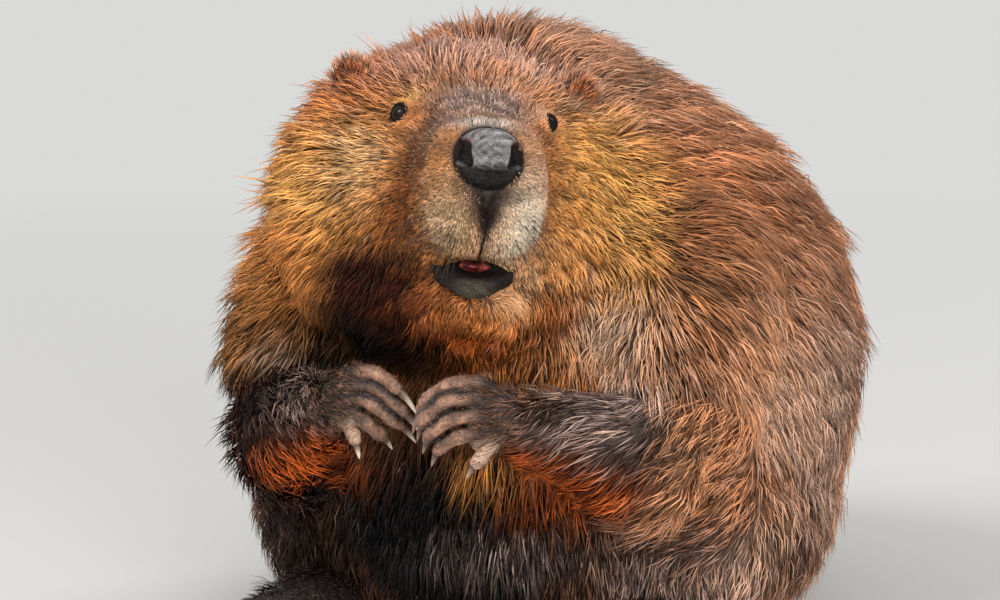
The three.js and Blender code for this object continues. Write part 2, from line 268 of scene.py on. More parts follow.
def tube(stations, around, rows, up=(0, 0, 1), axes=None, ends=(0.2, 0.2), relief=None):
    """A profile carried along a path and closed with round ends.

    A station is (x, y, z, a, b): the path's point and the half sizes of the elliptical profile there. b lies
    towards `up` unless `axes` fixes both directions. relief(share, angle) adds to the size, in millimetres.
    """
    stations = np.asarray(stations, float)
    share = (1 - np.cos(np.linspace(0, np.pi, rows))) / 2
    angle = np.linspace(0, 2 * np.pi, around, endpoint=False)
    values = through(stations, share)
    ahead = unit(through(stations, share + 0.01)[:, :3] - through(stations, share - 0.01)[:, :3])
    if axes is None:
        side = unit(np.cross(ahead, np.asarray(up, float)))
        rise = np.cross(side, ahead)
    else:
        side, rise = (np.broadcast_to(np.asarray(axis, float), ahead.shape) for axis in axes)
    taper = [np.sqrt(np.clip(1 - (1 - np.minimum(s / end, 1)) ** 2, 0, 1))
             for s, end in ((share, ends[0]), (1 - share, ends[1]))]
    size = (taper[0] * taper[1])[:, None]
    extra = 0 if relief is None else relief(share[:, None], angle[None, :]) * size
    p = (values[:, 3:4] * size + extra) * np.cos(angle)
    q = (values[:, 4:5] * size + extra) * np.sin(angle)
    grid = values[:, None, :3] + p[..., None] * side[:, None] + q[..., None] * rise[:, None]
    return outward(*shell(grid))


def joined(parts):
    """Several (points, faces) shells as one list of points and one of faces."""
    starts = np.cumsum([0] + [len(points) for points, _ in parts[:-1]])
    return np.vstack([p for p, _ in parts]), np.vstack([f + s for (_, f), s in zip(parts, starts)])


def vectors_of(mesh, kind):
    """The place ("co") or the normal of each of the mesh's points."""
    flat = np.empty(len(mesh.vertices) * 3, np.float32)
    mesh.vertices.foreach_get(kind, flat)
    return flat.reshape(-1, 3).astype(float)


def points_of(mesh):
    """The mesh's points, in millimetres."""
    return vectors_of(mesh, "co") / MM


def normals_of(mesh):
    """The mesh's normal at each point."""
    return vectors_of(mesh, "normal")


def edges_of(mesh):
    """The mesh's edges, as rows of two point numbers."""
    flat = np.empty(len(mesh.edges) * 2, np.int32)
    mesh.edges.foreach_get("vertices", flat)
    return flat.reshape(-1, 2)


def place_points(mesh, points):
    """Moves the mesh's points to places in millimetres."""
    mesh.vertices.foreach_set("co", (points * MM).astype(np.float32).ravel())
    mesh.update()


def welded(name, points, faces, voxel, smoothing):
    """Overlapping shells made one: remeshed in voxels of a size in millimetres, smoothed, largest kept."""
    rough = mesh_object(name + "_rough", points, faces)
    clean = bmesh.new()
    clean.from_mesh(rough.data)
    bmesh.ops.remove_doubles(clean, verts=clean.verts, dist=1e-6)
    bmesh.ops.recalc_face_normals(clean, faces=clean.faces)
    clean.to_mesh(rough.data)
    clean.free()
    remesh = rough.modifiers.new("Weld", "REMESH")
    remesh.mode = "VOXEL"
    remesh.voxel_size = voxel * MM
    smooth = rough.modifiers.new("Soften", "SMOOTH")
    smooth.iterations = smoothing
    graph = bpy.context.evaluated_depsgraph_get()
    mesh = bpy.data.meshes.new_from_object(rough.evaluated_get(graph))
    bpy.data.objects.remove(rough)
    keep_largest(mesh)
    mesh.name = name
    mesh.polygons.foreach_set("use_smooth", np.ones(len(mesh.polygons), bool))
    return linked(name, mesh)


def keep_largest(mesh):
    """Deletes every body but the one with the most points: labels spread along edges until they settle."""
    a, b = edges_of(mesh).T
    label = np.arange(len(mesh.vertices))
    while True:
        low = np.minimum(label[a], label[b])
        settled = label.copy()
        np.minimum.at(settled, a, low)
        np.minimum.at(settled, b, low)
        settled = settled[settled]
        if (settled == label).all():
            break
        label = settled
    body = np.bincount(label).argmax()
    if (label == body).all():
        return
    spare = bmesh.new()
    spare.from_mesh(mesh)
    spare.verts.ensure_lookup_table()
    bmesh.ops.delete(spare, geom=[spare.verts[i] for i in np.flatnonzero(label != body)], context="VERTS")
    spare.to_mesh(mesh)
    spare.free()


def node_shell(name, growth):
    """A CAD node's surface as one shell, moved out by a growth in millimetres."""
    copy = bmesh.new()
    copy.from_mesh(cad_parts[name].data)
    bmesh.ops.remove_doubles(copy, verts=copy.verts, dist=1e-5)
    mesh = bpy.data.meshes.new(name + "_copy")
    copy.to_mesh(mesh)
    copy.free()
    points = points_of(mesh) + growth * normals_of(mesh)
    faces = np.empty(len(mesh.polygons) * 3, np.int32)
    mesh.polygons.foreach_get("vertices", faces)
    bpy.data.meshes.remove(mesh)
    return points, faces.reshape(-1, 3)


def paint(mesh, name, colours):
    """Stores a linear colour at each point."""
    layer = mesh.color_attributes.new(name, "FLOAT_COLOR", "POINT")
    rgba = np.column_stack([colours, np.ones(len(colours))]).astype(np.float32)
    layer.data.foreach_set("color", rgba.ravel())


def stored(mesh, name, values):
    """Stores a number at each point."""
    mesh.attributes.new(name, "FLOAT", "POINT").data.foreach_set("value", np.asarray(values, np.float32))


def kept(piece, slot, *nodes):
    """The piece rides on the one body and stands for the CAD nodes, which it hides. The slot is not used."""
    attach(piece, "root")
    if nodes:
        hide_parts(*nodes)
    return piece


# ---- Shader maths: a socket that Python's operators can be written on.

class Value:
    """A number, colour or shader that a node gives, on which + - * and / add Math nodes."""

    def __init__(self, nodes, socket):
        self.nodes = nodes
        self.socket = socket

    def _with(self, operation, first, second):
        return self.nodes.node("ShaderNodeMath", {"operation": operation}, {0: first, 1: second})

    def __add__(self, other):
        return self._with("ADD", self, other)

    def __radd__(self, other):
        return self._with("ADD", other, self)

    def __sub__(self, other):
        return self._with("SUBTRACT", self, other)

    def __rsub__(self, other):
        return self._with("SUBTRACT", other, self)

    def __mul__(self, other):
        return self._with("MULTIPLY", self, other)

    def __rmul__(self, other):
        return self._with("MULTIPLY", other, self)

    def __truediv__(self, other):
        return self._with("DIVIDE", self, other)

    def __rtruediv__(self, other):
        return self._with("DIVIDE", other, self)

    def cosine(self):
        """The cosine of the value, as an angle in radians."""
        return self._with("COSINE", self, 0.0)


class Nodes:
    """A tree of shader nodes, all made by one method."""

    def __init__(self, tree):
        self.tree = tree

    def node(self, kind, settings=None, inputs=None, output=0):
        """Adds a node: its settings first, then its inputs as values or links. Gives one of its outputs."""
        made = self.tree.nodes.new(kind)
        for key, value in (settings or {}).items():
            if key == "stops":
                self._stops(made.color_ramp, value)
            else:
                setattr(made, key, value)
        for key, value in (inputs or {}).items():
            if isinstance(value, Value):
                self.tree.links.new(value.socket, made.inputs[key])
            else:
                made.inputs[key].default_value = value
        return Value(self, made.outputs[output])

    def _stops(self, ramp, stops):
        """Sets a ramp's stops, each (place, grey or colour)."""
        while len(ramp.elements) < len(stops):
            ramp.elements.new(1)
        for element, (place, shade) in zip(ramp.elements, stops):
            element.position = place
            element.color = (*shade, 1) if hasattr(shade, "__len__") else (shade, shade, shade, 1)

    def show(self, shader, output):
        """Links a shader to the tree's output node."""
        self.tree.links.new(shader.socket, self.tree.nodes[output].inputs["Surface"])


class Finish(Nodes):
    """One material: a Principled shader whose plain numbers are set at once, and nodes that vary the rest."""

    def __init__(self, name, **plain):
        self.material = bpy.data.materials.new(name)
        self.material.use_nodes = True
        super().__init__(self.material.node_tree)
        self.shader = self.tree.nodes["Principled BSDF"]
        for socket, value in plain.items():
            self.shader.inputs[socket.replace("_", " ")].default_value = value

    def place(self):
        """The point on the object, in metres."""
        return self.node("ShaderNodeTexCoord", output="Object")

    def attribute(self, name, output="Fac"):
        """A number or colour stored on the mesh."""
        return self.node("ShaderNodeAttribute", {"attribute_name": name}, output=output)

    def noise(self, scale, detail=3):
        """Fractal noise from 0 to 1, on the object's own place."""
        return self.node("ShaderNodeTexNoise", {}, {"Vector": self.place(), "Scale": scale, "Detail": detail})

    def cells(self, scale, feature="F1"):
        """The distance to the nearest cell's centre, or to its edge."""
        return self.node("ShaderNodeTexVoronoi", {"feature": feature},
                         {"Vector": self.place(), "Scale": scale}, "Distance")

    def ramp(self, value, *stops):
        """The value read through a colour ramp."""
        return self.node("ShaderNodeValToRGB", {"stops": stops}, {"Fac": value})

    def mix(self, factor, first, second, blend="MIX"):
        """Two colours mixed by a factor."""
        first, second = (shade if isinstance(shade, Value) else (*shade, 1) for shade in (first, second))
        return self.node("ShaderNodeMix", {"data_type": "RGBA", "blend_type": blend},
                         {0: factor, 6: first, 7: second}, 2)

    def bump(self, height, distance):
        """Feeds a height, and its size in metres, to the shader's normal."""
        self.set("Normal", self.node("ShaderNodeBump", {}, {"Height": height, "Distance": distance}))

    def set(self, socket, value):
        """Links a value to one of the shader's sockets."""
        self.tree.links.new(value.socket, self.shader.inputs[socket])


def linear(red, green, blue):
    """A colour of 0 to 255 as it is seen, in linear light."""
    return tuple(((c / 255 + 0.055) / 1.055) ** 2.4 if c > 10 else c / 255 / 12.92
                 for c in (red, green, blue))


# ---- Markings and painted light: the coat's colour, length and lie at any point of the body.

CHESTNUT = linear(174, 116, 80)
PATCH_CORE = 1.35  # how full a patch is round its middle, before it is cut off at 1
SPOT_CORE = 1.4
BACK_PATCHES = (  # colour as seen, centre and radii in millimetres, strength
    ((160, 118, 90), (-4, 0, 352), (84, 110, 52), 0.85),
    ((124, 76, 48), (122, -19, 267), (16, 24, 18), 0.85),
    ((180, 104, 62), (-74, -46, 318), (50, 50, 46), 0.8),
    ((204, 132, 64), (-134, -108, 218), (54, 60, 60), 0.9),
    ((170, 112, 76), (132, -66, 256), (44, 56, 44), 0.85),
    ((212, 154, 112), (166, -84, 184), (36, 50, 50), 0.8),
    # painted sheens on the left shoulder and on the upper arm below it: this row and the next
    ((238, 198, 162), (84, -124, 202), (29, 40, 29), 0.85),
    ((246, 214, 196), (90, -132, 177), (32, 40, 22), 0.9),
    ((172, 114, 76), (132, -118, 202), (18, 42, 34), 0.75),
    # the hips' dark grey-brown, greyed and lightened by a painted wet sheen: this row and the next
    ((118, 96, 84), (180, 14, 128), (42, 56, 96), 0.85),
    ((118, 96, 84), (-180, 14, 128), (42, 56, 96), 0.85),
    ((218, 172, 142), (166, -44, 154), (26, 50, 42), 0.85),
    ((112, 80, 60), (0, 190, 90), (150, 70, 110), 0.7),
    ((5, 5, 5), (0, -150, 85), (105, 80, 84), 1.0),
    # dark chest fur, darkened further as painted shadow under the ruff
    ((20, 9, 6), (-25, -150, 178), (95, 60, 26), 0.95),
    # painted shadow in the gap under the ruff, above the right forearm
    ((4, 3, 2), (-84, -120, 178), (24, 50, 22), 1.0),
    # painted sheen on the top of the right forearm
    ((160, 128, 106), (-114, -128, 176), (12, 26, 14), 0.8),
    ((98, 68, 38), (-152, -112, 190), (25, 50, 38), 0.8),
    # pale fur on the left thigh, partly painted wet highlights
    ((222, 182, 158), (142, -102, 58), (34, 50, 44), 0.9),
    ((138, 86, 56), (152, -52, 114), (16, 24, 12), 0.85),
    ((196, 140, 100), (157, -56, 91), (16, 24, 13), 0.9),
    ((200, 158, 132), (150, -70, 70), (16, 28, 22), 0.85),
    ((84, 56, 42), (166, -4, 60), (16, 34, 22), 1.0),
    ((172, 142, 130), (98, -104, 55), (15, 26, 13), 0.9),
    ((76, 58, 52), (124, -96, 67), (12, 20, 12), 0.9),
    ((52, 36, 30), (100, -124, 80), (20, 30, 12), 0.8),
    # painted grey highlights on the wet lower belly
    ((82, 68, 64), (36, -145, 80), (48, 40, 14), 0.85),
    ((26, 18, 15), (-112, -80, 50), (70, 95, 50), 0.95),
    ((184, 88, 30), (78, -152, 117), (34, 30, 15), 0.95),
    ((236, 158, 80), (25, -153, 131), (14, 20, 10), 1.0),
    ((8, 6, 6), (-56, -140, 94), (34, 40, 20), 0.9),
    ((156, 68, 20), (-72, -150, 127), (24, 26, 12), 0.9),
)
HEAD_BASE = linear(208, 132, 66)
HEAD_PATCHES = (
    ((184, 138, 118), (0, 66, 50), (80, 56, 32), 0.95),
    ((204, 164, 142), (38, 36, 38), (24, 24, 18), 0.7),
    ((218, 180, 160), (-38, 36, 38), (24, 24, 18), 0.85),
    ((178, 128, 98), (94, 56, 24), (30, 42, 26), 0.85),
    ((172, 96, 54), (-72, 50, 34), (40, 44, 34), 0.9),
    ((150, 132, 126), (60, 44, 32), (18, 26, 18), 0.8),
    ((128, 80, 54), (130, 18, -46), (20, 44, 54), 0.9),
    ((240, 184, 102), (-92, 29, -45), (30, 40, 34), 0.85),
    ((242, 192, 132), (-57, 10, -26), (18, 26, 18), 0.9),
    ((104, 58, 34), (-36, -40, -28), (9, 26, 22), 0.75),
    ((112, 84, 64), (-26, -44, -6), (14, 20, 14), 0.8),
    ((132, 72, 34), (-44, -28, -60), (14, 22, 24), 0.8),
    ((120, 54, 24), (43, -34, -44), (15, 24, 30), 0.9),
    ((160, 96, 50), (46, -12, -40), (12, 18, 22), 0.85),
    ((248, 158, 78), (-98, 50, -78), (27, 40, 26), 0.9),
    ((255, 192, 108), (80, 14, -48), (34, 50, 50), 1.0),
    ((255, 180, 106), (63, 4, -80), (28, 36, 28), 0.9),
    ((132, 82, 54), (119, 24, -38), (15, 52, 56), 0.85),
    ((255, 190, 104), (65, 22, -12), (18, 26, 18), 0.85),
    # painted shadow, dark maroon, on the lower right cheek beside the mouth
    ((56, 20, 10), (-52, 6, -88), (29, 36, 24), 1.0),
    ((52, 20, 10), (-36, -20, -94), (14, 20, 17), 0.9),
    ((66, 26, 10), (-54, 14, -112), (40, 34, 18), 0.9),
    ((172, 76, 16), (14, -14, -124), (52, 44, 24), 0.95),
    ((64, 24, 10), (0, 30, -152), (110, 80, 18), 0.9),
    ((26, 12, 8), (-28, 34, -128), (34, 36, 19), 0.95),
    ((110, 46, 15), (-14, -22, -108), (17, 20, 14), 0.75),
    # painted shadow under the ruff's lower edge, on the right
    ((4, 3, 2), (-62, 66, -118), (42, 66, 23), 1.0),
    # painted sheen where the ruff meets the left shoulder
    ((228, 192, 162), (86, 24, -101), (27, 36, 18), 0.9),
    ((164, 88, 40), (51, 16, -98), (16, 24, 15), 0.85),
    ((120, 106, 102), (2, -26, 8), (34, 46, 20), 0.85),
    ((136, 108, 88), (0, -52, -20), (32, 18, 16), 0.7),
    ((206, 196, 186), (-2, -60, -9), (15, 9, 4), 0.8),
    ((218, 176, 150), (36, -11, 10), (7, 8, 7), 0.9),
    ((206, 170, 84), (-39, 2, 15), (10, 9, 7), 0.85),
    ((200, 166, 126), (-19, -64, -64), (17, 20, 25), 0.95),
    ((255, 234, 206), (21, -60, -63), (18, 22, 28), 1.0),
    # painted shadow under the nose: this row and the next
    ((30, 19, 15), (-1, -62, -46), (17, 18, 7.5), 1.0),
    ((30, 19, 15), (0, -66, -54), (11, 16, 12), 1.0),
    ((34, 19, 14), (0, -70, -57), (5.5, 12, 18), 1.0),
    ((206, 126, 58), (9, -40, -116), (24, 19, 12), 0.85),
    ((255, 216, 164), (26, -46, -94), (17, 18, 13), 0.9),
    ((246, 192, 140), (29, -18, -85), (14, 17, 14), 0.95),
)
# the colour of pale hairs: partly the coat's own pale tips, partly painted highlights on wet locks
PALE_HAIR_AND_HIGHLIGHT = linear(222, 192, 172)
PALE_AND_HIGHLIGHT_SPOTS = (  # where pale hairs are common or rare: centre and radii in millimetres, share of the hairs
    ((20, 0, 350), (120, 110, 60), 0.26),
    ((132, -56, 262), (44, 56, 44), 0.1),
    ((180, 14, 128), (50, 66, 106), 0.5),
    ((-180, 14, 128), (50, 66, 106), 0.5),
    ((166, -44, 140), (26, 50, 56), 0.5),
    ((92, -128, 188), (44, 46, 36), 0.48),
    ((92, -170, 155), (40, 40, 26), 0.4),
    ((0, -150, 95), (90, 70, 80), 0.06),
    ((-88, -130, 202), (32, 48, 38), 0.0),
    ((140, -92, 64), (60, 70, 50), 0.46),
    ((48, -145, 76), (54, 40, 18), 0.28),
)
# the same on the head, where the pale hairs are partly painted highlights
HEAD_PALE_AND_HIGHLIGHT_SPOTS = (
    ((2, -28, 8), (30, 40, 20), 0.42),
    ((0, 56, 48), (90, 64, 42), 0.34),
    ((0, -62, -62), (36, 20, 26), 0.34),
    ((21, -60, -63), (19, 22, 28), 0.06),
    ((0, -68, -54), (6, 14, 16), 0.0),
    ((122, 14, -50), (26, 44, 54), 0.1),
    ((-58, 10, -98), (40, 44, 40), 0.03),
    ((-75, 66, -118), (40, 62, 28), 0.0),
    ((88, 24, -101), (29, 36, 20), 0.42),
)
PEPPER = (((0, -62, -62), (36, 24, 30), 0.15),)
FOREARM_TOP = linear(70, 50, 41)
FOREARM_SHEEN = linear(160, 134, 124)
FOREARM_SHEENS = (  # where the upper side of the forearms shines: centre and radii
    ((96, -164, 163), (38, 40, 19)),
    ((54, -200, 152), (13, 20, 12)),
    ((-74, -194, 170), (24, 34, 20)),
)
# a painted shadow in the gap beside the left paw, over the wrist: its centre and radii, then its colour
FOREARM_NOTCH = ((71, -181, 169), (20, 20, 14))
NOTCH_SHADOW = linear(16, 10, 8)
FOREARM_UNDER = linear(156, 70, 19)
# painted shade: the ruff's shadow over the right forearm's upper side, and the underside by the elbow
FOREARM_SHADE = linear(42, 20, 11)
ELBOW_FUR = linear(222, 154, 108)
ELBOW_UNDER = linear(150, 108, 86)
WRIST_FUR = linear(96, 70, 56)

# Hair lengths, and where the hairs' length and lie change: centre and radii, in the head's frame at first.
LIP_HAIR = 3.2
EYE_HAIR = 2.0
BODY_HAIR = 32
EYE_RING = ((39, -7, 1), (13, 13, 12))
CHIN = ((0, -40, -112), (24, 26, 16))
CROWN = ((0, 84, 60), (100, 50, 40))
TOPKNOT = ((0, 80, 50), (110, 60, 50))
OVERHANG = ((-66, 48, -108), (40, 54, 15))
SWEEP_START = (0, -84, -30)  # the point that the head's hairs lie away from
ARMPIT = ((-96, -130, 206), (30, 44, 18))  # from here on in the beaver's frame
BELLY = ((0, -150, 80), (110, 80, 80))
HUMP = ((0, 0, 350), (130, 130, 60))
HIPS = ((168, -50, 70), (30, 60, 60))


def head_share(points):
    """1 on the head and its ruff, 0 on the body, with a soft edge behind the ruff."""
    local = to_head(points)
    return 1 - step(0.9, 1.2, np.linalg.norm((local - [0, 20, -48]) / [128, 122, 112], axis=1))


def limb_shares(points):
    """How far each point belongs to a forearm, its place along it, and how far it belongs to a thigh."""
    arm, reach, thigh = np.zeros((3, len(points)))
    for _, side in SIDES:
        share, distance = along(points, mirrored(ELBOW, side), mirrored(WRIST, side))
        edge = distance / (FOREARM_THICK - LIMB_TAPER * np.clip(share, 0, 1))
        inside = 1 - step(1.0, 1.25, edge)
        reach = np.where(inside > arm, share, reach)
        arm = np.maximum(arm, inside)
        share, distance = along(points, mirrored(HIP, side), mirrored(KNEE, side))
        edge = distance / (THIGH_THICK - LIMB_TAPER * np.clip(share, 0, 1))
        thigh = np.maximum(thigh, 1 - step(1.0, 1.3, edge))
    return arm * (1 - head_share(points)), reach, thigh * (1 - arm)


def blended(points, base, patches):
    """The base colour with each patch laid over it by its bell, full round the middle, and its strength."""
    colour = np.tile(base, (len(points), 1))
    for shade, centre, radii, strength in patches:
        weight = np.clip(PATCH_CORE * bell(points, centre, radii), 0, 1)[:, None] * strength
        colour = mixed(colour, linear(*shade), weight)
    return colour


def sleeve_height(points):
    """The height of each point near a forearm above the line from its elbow to its wrist."""
    height = np.zeros(len(points))
    for _, side in SIDES:
        elbow, wrist = mirrored(ELBOW, side), mirrored(WRIST, side)
        share, distance = along(points, elbow, wrist)
        line = elbow + share[:, None] * (wrist - elbow)
        height = np.where(distance < SLEEVE_REACH, (points - line)[:, 2], height)
    return height


def sleeve_colour(points, reach):
    """The forearms' colours: dark above with painted sheens, orange below, and browns at the elbow and
    the wrist.

    Painted shade darkens the right arm's upper side towards the elbow, where the ruff shades it, and
    the underside by the elbow. A painted shadow lies in the gap between the left paw and its forearm.
    """
    left, right = points[:, 0] > 0, points[:, 0] < 0
    height = sleeve_height(points)
    sheen = np.clip(sum(bell(points, *place) for place in FOREARM_SHEENS), 0, 1)[:, None]
    notch = np.clip(SPOT_CORE * bell(points, *FOREARM_NOTCH), 0, 1)[:, None]
    top = mixed(mixed(FOREARM_TOP, FOREARM_SHEEN, sheen), NOTCH_SHADOW, notch)
    shaded = (step(0.62, 0.3, reach) * right)[:, None]
    top = mixed(top, FOREARM_SHADE, shaded)
    orange = step(0.04, 0.34, reach - 0.1 * right)[:, None]
    sleeve = mixed(mixed(FOREARM_SHADE, FOREARM_UNDER, orange), top, step(-16, 2, height)[:, None])
    elbow = (step(0.36, 0.08, reach) * left)[:, None]
    sleeve = mixed(sleeve, mixed(ELBOW_UNDER, ELBOW_FUR, step(-34, -14, height)[:, None]), elbow)
    return mixed(sleeve, WRIST_FUR, step(0.84, 1.05, reach)[:, None])


def markings_and_painted_light(points):
    """The coat's linear colour at points of the body, painted shadows and sheens included."""
    arm, reach, _ = limb_shares(points)
    body = blended(points, CHESTNUT, BACK_PATCHES)
    head = blended(to_head(points), HEAD_BASE, HEAD_PATCHES)
    colour = mixed(body, head, head_share(points)[:, None])
    colour = mixed(colour, sleeve_colour(points, reach), arm[:, None])
    drift = 1 + 0.16 * ripple(points, 70, 3) + 0.14 * ripple(points, 24, 4)
    return np.maximum(colour * drift[:, None], 0.002)


def speckle(points, usual, body_spots, head_spots):
    """The share of hairs that differ from their neighbours: the usual one, with each spot over it."""
    share = np.full(len(points), usual)
    for place, spots in ((points, body_spots), (to_head(points), head_spots)):
        for centre, radii, local_share in spots:
            share = mixed(share, local_share, np.clip(SPOT_CORE * bell(place, centre, radii), 0, 1))
    return share


def pale_and_highlight_share(points):
    """The share of pale hairs: few on the orange underside of the forearms.

    They are partly the coat's own pale tips and partly painted highlights on wet locks.
    """
    arm, reach, _ = limb_shares(points)
    under = arm * step(0.05, 0.3, reach) * step(2, -16, sleeve_height(points))
    return speckle(points, 0.17, PALE_AND_HIGHLIGHT_SPOTS, HEAD_PALE_AND_HIGHLIGHT_SPOTS) * (1 - 0.8 * under)


def dark_share(points):
    """The share of dark hairs: most on the lips."""
    return speckle(points, 0.07, (), PEPPER)


def hair_length(points):
    """The length of the guard hairs: shortest on the lips and round the eyes, longest on the back and ruff.

    It is shorter where the ruff and the shoulder hang over the right arm, at the wrists and near the floor.
    """
    local = to_head(points)
    arm, reach, thigh = limb_shares(points)
    face = LIP_HAIR + 24.4 * step(30, 150, np.linalg.norm(local - NOSE_TIP, axis=1))
    face = face * (1 - 0.3 * bell(local, *CHIN)) * (1 - 0.45 * bell(local, *OVERHANG))
    face = face + 4 * bell(local, *CROWN)
    face = mixed(face, EYE_HAIR, np.clip(SPOT_CORE * bells(local, *EYE_RING), 0, 1))
    body = (BODY_HAIR - 9 * arm - 7 * thigh) * (1 - 0.45 * bell(points, *ARMPIT))
    body = body * (1 - arm * step(0.7, 1.05, reach) * 0.65)
    body = body * (0.45 + 0.55 * step(0, 45, points[:, 2]))
    return mixed(body, face, head_share(points))


def coat_depth(points):
    """How deep the skin lies under the tips of the coat."""
    return UNDERFUR_DEPTH + LAY_DEPTH * hair_length(points)


def body_width(points):
    """The width of a tuft: half a millimetre on the lips, more where the hairs are longer."""
    return 0.42 + 0.024 * hair_length(points)


def wetness(points):
    """How damp the coat is: most on the forearms, thighs and belly."""
    arm, _, thigh = limb_shares(points)
    return np.clip(0.9 * arm + 0.8 * thigh + bell(points, *BELLY), 0, 1)


def lock_contrast(points):
    """How far neighbouring locks differ in brightness: most where the coat is wet, least on the face."""
    return 0.75 - 0.1 * head_share(points) + 0.6 * np.maximum(wetness(points), bells(points, *HIPS))


def shagginess(points):
    """Extra degrees that the hairs stand up: most on the crown and the hump, none on the belly."""
    return 6 * np.clip(bell(to_head(points), *TOPKNOT) + 0.4 * bell(points, *HUMP), 0, 1)


def lie_of_coat(points, normals):
    """The way the hairs lie: back from the nose over the head, down and back over the body, towards the
    paws on the arms, always along the skin."""
    local = to_head(points)
    arm, _, thigh = limb_shares(points)
    swept = unit(local - SWEEP_START)
    swept[:, 2] -= 0.5 * step(18, 70, np.abs(local[:, 0])) + 0.5 * step(-60, -120, local[:, 2])
    over_body = unit(points - NAPE) + [0, 0.12, -0.55]
    flow = mixed(over_body, unit(swept) @ HEAD_TURN.T, head_share(points)[:, None])
    for _, side in SIDES:
        _, distance = along(points, mirrored(ELBOW, side), mirrored(WRIST, side))
        down_arm = unit(mirrored(WRIST - ELBOW, side)) * 0.8 + [0, -0.1, -0.65]
        flow = mixed(flow, down_arm, (arm * (distance < SLEEVE_REACH))[:, None])
        down_thigh = (0.15 * side, -0.5, -0.8)
        flow = mixed(flow, down_thigh, (thigh * (points[:, 0] * side > 0) * 0.8)[:, None])
    return laid(flow + 0.22 * wander(points, 60, 11), normals)


# ---- The skin.

EYE_RADIUS = 7.5
EYE_OPENING = {1: (3.3, 4.7), -1: (5.9, 5.3)}  # half the width and height of the gap between the lids
EYE_AZIMUTH = {1: np.radians(22), -1: np.radians(54)}  # how far each gap between the lids is turned aside
LID_THICKNESS = 1.1
MOUTH = ((0, -42, -91), (25, 19, 8))  # centre and radii, as are the next two
LIP_PAD = ((15, -66, -66), (12, 22, 15))
SHOULDERS = ((96, -60, 250), (62, 60, 62))
EYE_RELIEF = (  # height, centre and radii: the brow, the hollow beside the nose and the corner of the eye
    (1.5, (40, -6, 14), (12, 14, 6)), (-1.5, (30, -26, -8), (10, 12, 10)), (-2.6, (32, -14, -1), (7, 10, 9)),
)
NOSE_BED = (19.5, 24, 18.5)  # radii of the bare skin under the nose
# the mouth's tint is painted shade in the notch between the lips
BARE_TINTS = (linear(26, 11, 9), linear(40, 26, 21), linear(22, 13, 10))  # mouth, cleft and lids


def eye_frame(side):
    """The eye's centre in the head's frame, and the rows across, up and ahead of the eye."""
    centre = to_head(middle("eye_left" if side > 0 else "eye_right")[None])[0]
    azimuth = EYE_AZIMUTH[side]
    ahead = unit(np.array([np.sin(azimuth) * side, -np.cos(azimuth), 0.26]))
    across = unit(np.cross([0, 0, 1], ahead))
    return centre, np.stack([across, np.cross(ahead, across), ahead])


def to_eye(local, side):
    """Points of the head's frame in the eye's, and how far out each lies: 1 at the edge of the lids."""
    centre, axes = eye_frame(side)
    eye = (local - centre) @ axes.T
    return eye, np.hypot(eye[:, 0] / EYE_OPENING[side][0], eye[:, 1] / EYE_OPENING[side][1])


def body_skin(material):
    """One skin for all the furred flesh.

    The solids of the flesh are grown a little, so that they overlap, and welded. The skin then sinks by the
    depth of the coat, and the face is divided finer and given its lips, brows and lids.
    """
    points, faces = joined([node_shell(name, 1.5) for name in FLESH])
    piece = welded("skin", points, faces, 3.4, 14)
    mesh = piece.data
    soften(mesh, bells(points_of(mesh), *SHOULDERS) > 0.37, 60)
    points, normals = points_of(mesh), normals_of(mesh)
    depth = coat_depth(points) * step(-4, 12, points[:, 2])
    points = points - depth[:, None] * normals
    points[:, 2] = np.maximum(points[:, 2], 0.1)
    place_points(mesh, points)
    refine_face(mesh)
    shape_face(mesh)
    mesh.materials.append(material)
    return piece


def face_zone(local, margin):
    """Which points of the head's frame lie on the muzzle or round the eyes, with a margin in millimetres."""
    zone = np.linalg.norm((local - [0, -56, -52]) / [1, 1, 1.3], axis=1) < 40 + margin
    for _, side in SIDES:
        zone |= np.linalg.norm(local - eye_frame(side)[0], axis=1) < 13 + margin
    return zone


def refine_face(mesh):
    """Divides the faces of the muzzle and round the eyes into four, twice."""
    for margin in (6, 0):
        near = face_zone(to_head(points_of(mesh)), margin)[edges_of(mesh)].all(1)
        fine = bmesh.new()
        fine.from_mesh(mesh)
        fine.edges.ensure_lookup_table()
        chosen = [fine.edges[i] for i in np.flatnonzero(near)]
        bmesh.ops.subdivide_edges(fine, edges=chosen, cuts=1, use_grid_fill=True, smooth=0.0)
        bmesh.ops.triangulate(fine, faces=[face for face in fine.faces if len(face.verts) > 4])
        fine.to_mesh(mesh)
        fine.free()
    soften(mesh, face_zone(to_head(points_of(mesh)), 4), 6)


def soften(mesh, chosen, passes):
    """Moves each chosen point halfway to the mean of its neighbours, a number of times."""
    a, b = edges_of(mesh).T
    points = points_of(mesh)
    ends, others = np.concatenate([a, b]), np.concatenate([b, a])
    count = np.bincount(ends, minlength=len(points))[:, None]
    for _ in range(passes):
        total = np.column_stack([np.bincount(ends, points[others, k], len(points)) for k in range(3)])
        points = np.where(chosen[:, None], 0.5 * points + 0.5 * total / count, points)
    place_points(mesh, points)


